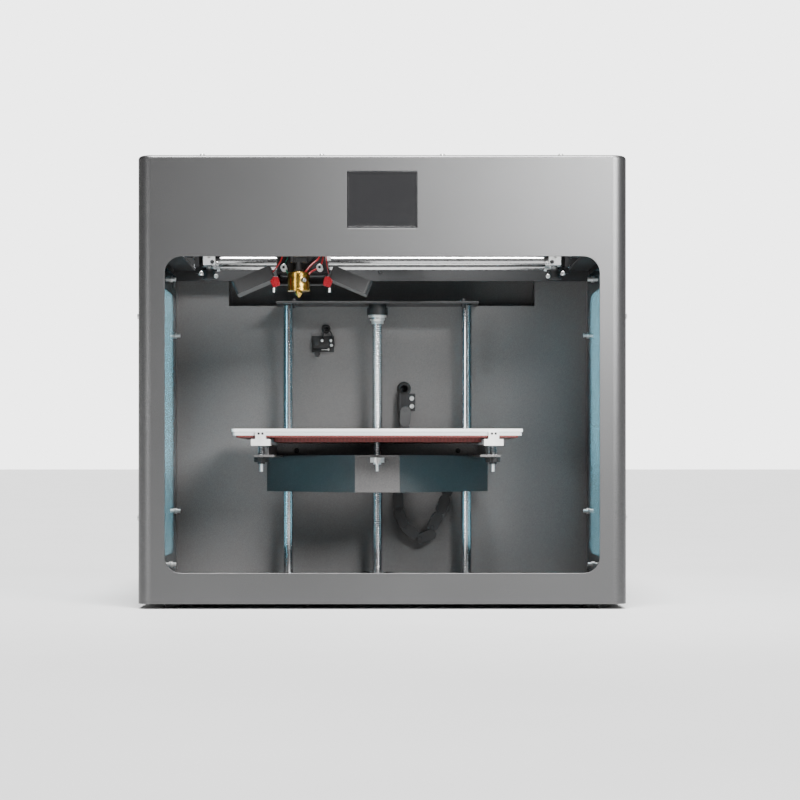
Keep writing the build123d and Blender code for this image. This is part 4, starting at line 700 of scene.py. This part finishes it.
def head_details(materials):
    """Leads, plug, heater cartridge and motor screws on the print head."""
    x, y, _ = centre_of("heater_block")
    head_leads(materials, x, y)
    bm = bmesh.new()
    prism(bm, rectangle(5.4, 7.0), 4.0, at(x + 25.0, y + 2.5, 301.5) @ FACING_FRONT)
    plug = bevelled(mesh_piece("head_plug", bm), 0.4)
    finish_piece(plug, materials["white_plastic"], "print_head", smooth=False)
    profile = [(AXIS_GAP, 0.0), (1.9, 0.0), (1.9, 4.0), (1.5, 4.6), (AXIS_GAP, 4.6)]
    cartridge = lathe("heater_cartridge", profile, (x + 3.4, y - 8.2, 280.4), (0.5, -0.86, 0), 24)
    finish_piece(cartridge, materials["spring_steel"], "print_head")
    motor_screws(materials)


def small_screws(materials):
    """Screw heads on the bed clips, the carriage, the cross member and the stop switch."""
    dark = materials["black_plastic"]
    clip_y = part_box("bed_clips")[0][1] / MM
    for word, x in CLIP_X.items():
        for index, shift in enumerate((-1.65, 1.65)):
            pin = button(f"clip_pin_{word}_{index + 1}", 1.1, 0.5, (x + shift, clip_y + 0.4, 148.7), 20)
            finish_piece(pin, dark, "z_stage")
    for index, x in enumerate((-82.2, 73.6)):
        cap_screw(f"carriage_screw_{index + 1}", (x, 86.0, 134.6), FORWARD, dark, "z_stage", 2.4, 1.6)
    cap_screw("cross_member_screw", (-1.0, centre_of("z_rods")[1], 309.0), FORWARD, dark, "case", 2.4, 1.6)
    switch_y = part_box("z_endstop_switch")[0][1] / MM + 0.1
    dome = [(AXIS_GAP, 0.7), (1.0, 0.55), (1.5, 0.0), (AXIS_GAP, 0.0)]
    for index, (x, z) in enumerate(((-58.6, 243.0), (-50.0, 243.0), (-49.4, 238.4))):
        rivet = lathe(f"stop_rivet_{index + 1}", dome, (x, switch_y, z), FORWARD, 24)
        finish_piece(rivet, materials["zinc"], "case")


def bearing_collar(materials):
    """Steel collar and nut under the upper lead screw bearing."""
    x, y, _ = centre_of("z_screw_bearings")
    profile = [(5.1, 0.0), (6.0, 0.0), (6.0, 3.0), (7.2, 3.6), (7.2, 6.0), (8.8, 6.4), (8.8, 8.4), (5.1, 8.4)]
    collar = lathe("bearing_collar", profile, (x, y, 258.0), UP, 48)
    finish_piece(collar, materials["zinc"], "z_screw", smooth=False)


def screen_bezel(materials):
    """Thin dark border let in round the touch panel."""
    width, height, border, depth = 58.8, 47.5, 1.3, 0.25
    outer = rectangle(width, height)
    inner = rectangle(width - 2 * border, height - 2 * border)
    place = at(0, FRONT_Y / MM + 0.33, 344.3) @ FACING_FRONT
    bm = bmesh.new()
    rings = []
    for outline, level in ((outer, 0.0), (outer, depth), (inner, depth), (inner, 0.0)):
        rings.append([bm.verts.new(place @ Vector((x, y, level)) * MM) for x, y in outline])
    for index in range(4):
        one, two = rings[index], rings[(index + 1) % 4]
        for corner in range(4):
            after = (corner + 1) % 4
            bm.faces.new((one[corner], one[after], two[after], two[corner]))
    finish_piece(mesh_piece("screen_bezel", bm), materials["screen"], "case", smooth=False)


# ---------------------------------------------------------------- finishing
def paint_nodes(materials):
    """Every CAD node takes the procedural material of its record slot, with a few of its own."""
    special = {"xy_frame": "paint_frame", "z_carriage": "paint_carriage", "z_top_plate": "paint_frame",
               "gantry_blocks": "block_alu", "x_rods": "dull_steel"}
    for part in frame["record"]["subparts"]:
        node = NODES[part["node"]]
        material = materials[special.get(part["node"], part["material_slot"])]
        if not node.data.materials:
            node.data.materials.append(material)
        for index in range(len(node.material_slots)):
            node.material_slots[index].link = "OBJECT"
            node.material_slots[index].material = material


BACKDROP, DIM = 4.0, 0.13
SUN, SUN_SOFTNESS, SUN_LEAN = 12.0, 24, 15


def area_light(name, place, target, size, watts, spread):
    data = bpy.data.lights.new(name, "AREA")
    data.shape = "RECTANGLE"
    data.size, data.size_y = size
    data.energy = watts
    data.spread = math.radians(spread)
    light = bpy.data.objects.new(name, data)
    light.location = place
    light.rotation_euler = (Vector(target) - Vector(place)).to_track_quat("-Z", "Y").to_euler()
    bpy.context.collection.objects.link(light)


def backdrop_world():
    """White surround behind the machine that fades to a dim grey at the sides and in front."""
    world = bpy.data.worlds.new("studio")
    world.use_nodes = True
    tree = world.node_tree
    place = tree.nodes.new("ShaderNodeTexCoord")
    split = tree.nodes.new("ShaderNodeSeparateXYZ")
    fade = tree.nodes.new("ShaderNodeMapRange")
    fade.interpolation_type = "SMOOTHSTEP"
    for key, value in (("From Min", 0.70), ("From Max", 0.93), ("To Min", DIM), ("To Max", BACKDROP)):
        fade.inputs[key].default_value = value
    tree.links.new(place.outputs["Generated"], split.inputs[0])
    tree.links.new(split.outputs["Y"], fade.inputs["Value"])
    background = tree.nodes["Background"]
    background.inputs["Color"].default_value = (1.0, 1.0, 1.0, 1.0)
    tree.links.new(fade.outputs["Result"], background.inputs["Strength"])
    bpy.context.scene.world = world


def pale_floor():
    """A wide matt floor just under the feet, cut off in front so that the case doesn't mirror it."""
    mesh = bpy.data.meshes.new("floor")
    reach, front, low = 40.0, -1.5, -0.0003
    corners = [(-reach, front, low), (reach, front, low), (reach, reach, low), (-reach, reach, low)]
    mesh.from_pydata(corners, [], [(0, 1, 2, 3)])
    floor = bpy.data.objects.new("floor", mesh)
    bpy.context.collection.objects.link(floor)
    s = Shader("floor")
    s.colour(s.ramp(s.noise(3.0), [(0.3, (0.50, 0.50, 0.50)), (0.7, (0.53, 0.53, 0.53))]))
    s.set(Roughness=0.85)
    floor.data.materials.append(s.done())


def overhead_sun():
    """Soft light from above, leaning in from the front so that it reaches the back wall."""
    data = bpy.data.lights.new("overhead", "SUN")
    data.energy = SUN
    data.angle = math.radians(SUN_SOFTNESS)
    sun = bpy.data.objects.new("overhead", data)
    sun.rotation_euler = (math.radians(SUN_LEAN), 0, 0)
    bpy.context.collection.objects.link(sun)


def make_studio():
    """Soft overhead light, a near key at the upper right and a weak fill at the left."""
    backdrop_world()
    pale_floor()
    overhead_sun()
    area_light("key", (0.48, -1.00, 0.64), (0.10, -0.19, 0.30), (0.4, 0.4), 4.5, 66.0)
    area_light("fill", (-1.2, -1.7, 0.25), (0.1, 0.0, 0.12), (0.6, 0.4), 0.8, 60.0)


def main():
    make_camera()
    materials = make_materials()
    paint_nodes(materials)
    lead_screw_thread(materials)
    springs(materials)
    cable_chain(materials)
    wall_fittings(materials)
    gantry_details(materials)
    head_details(materials)
    small_screws(materials)
    bearing_collar(materials)
    screen_bezel(materials)
    make_studio()


main()
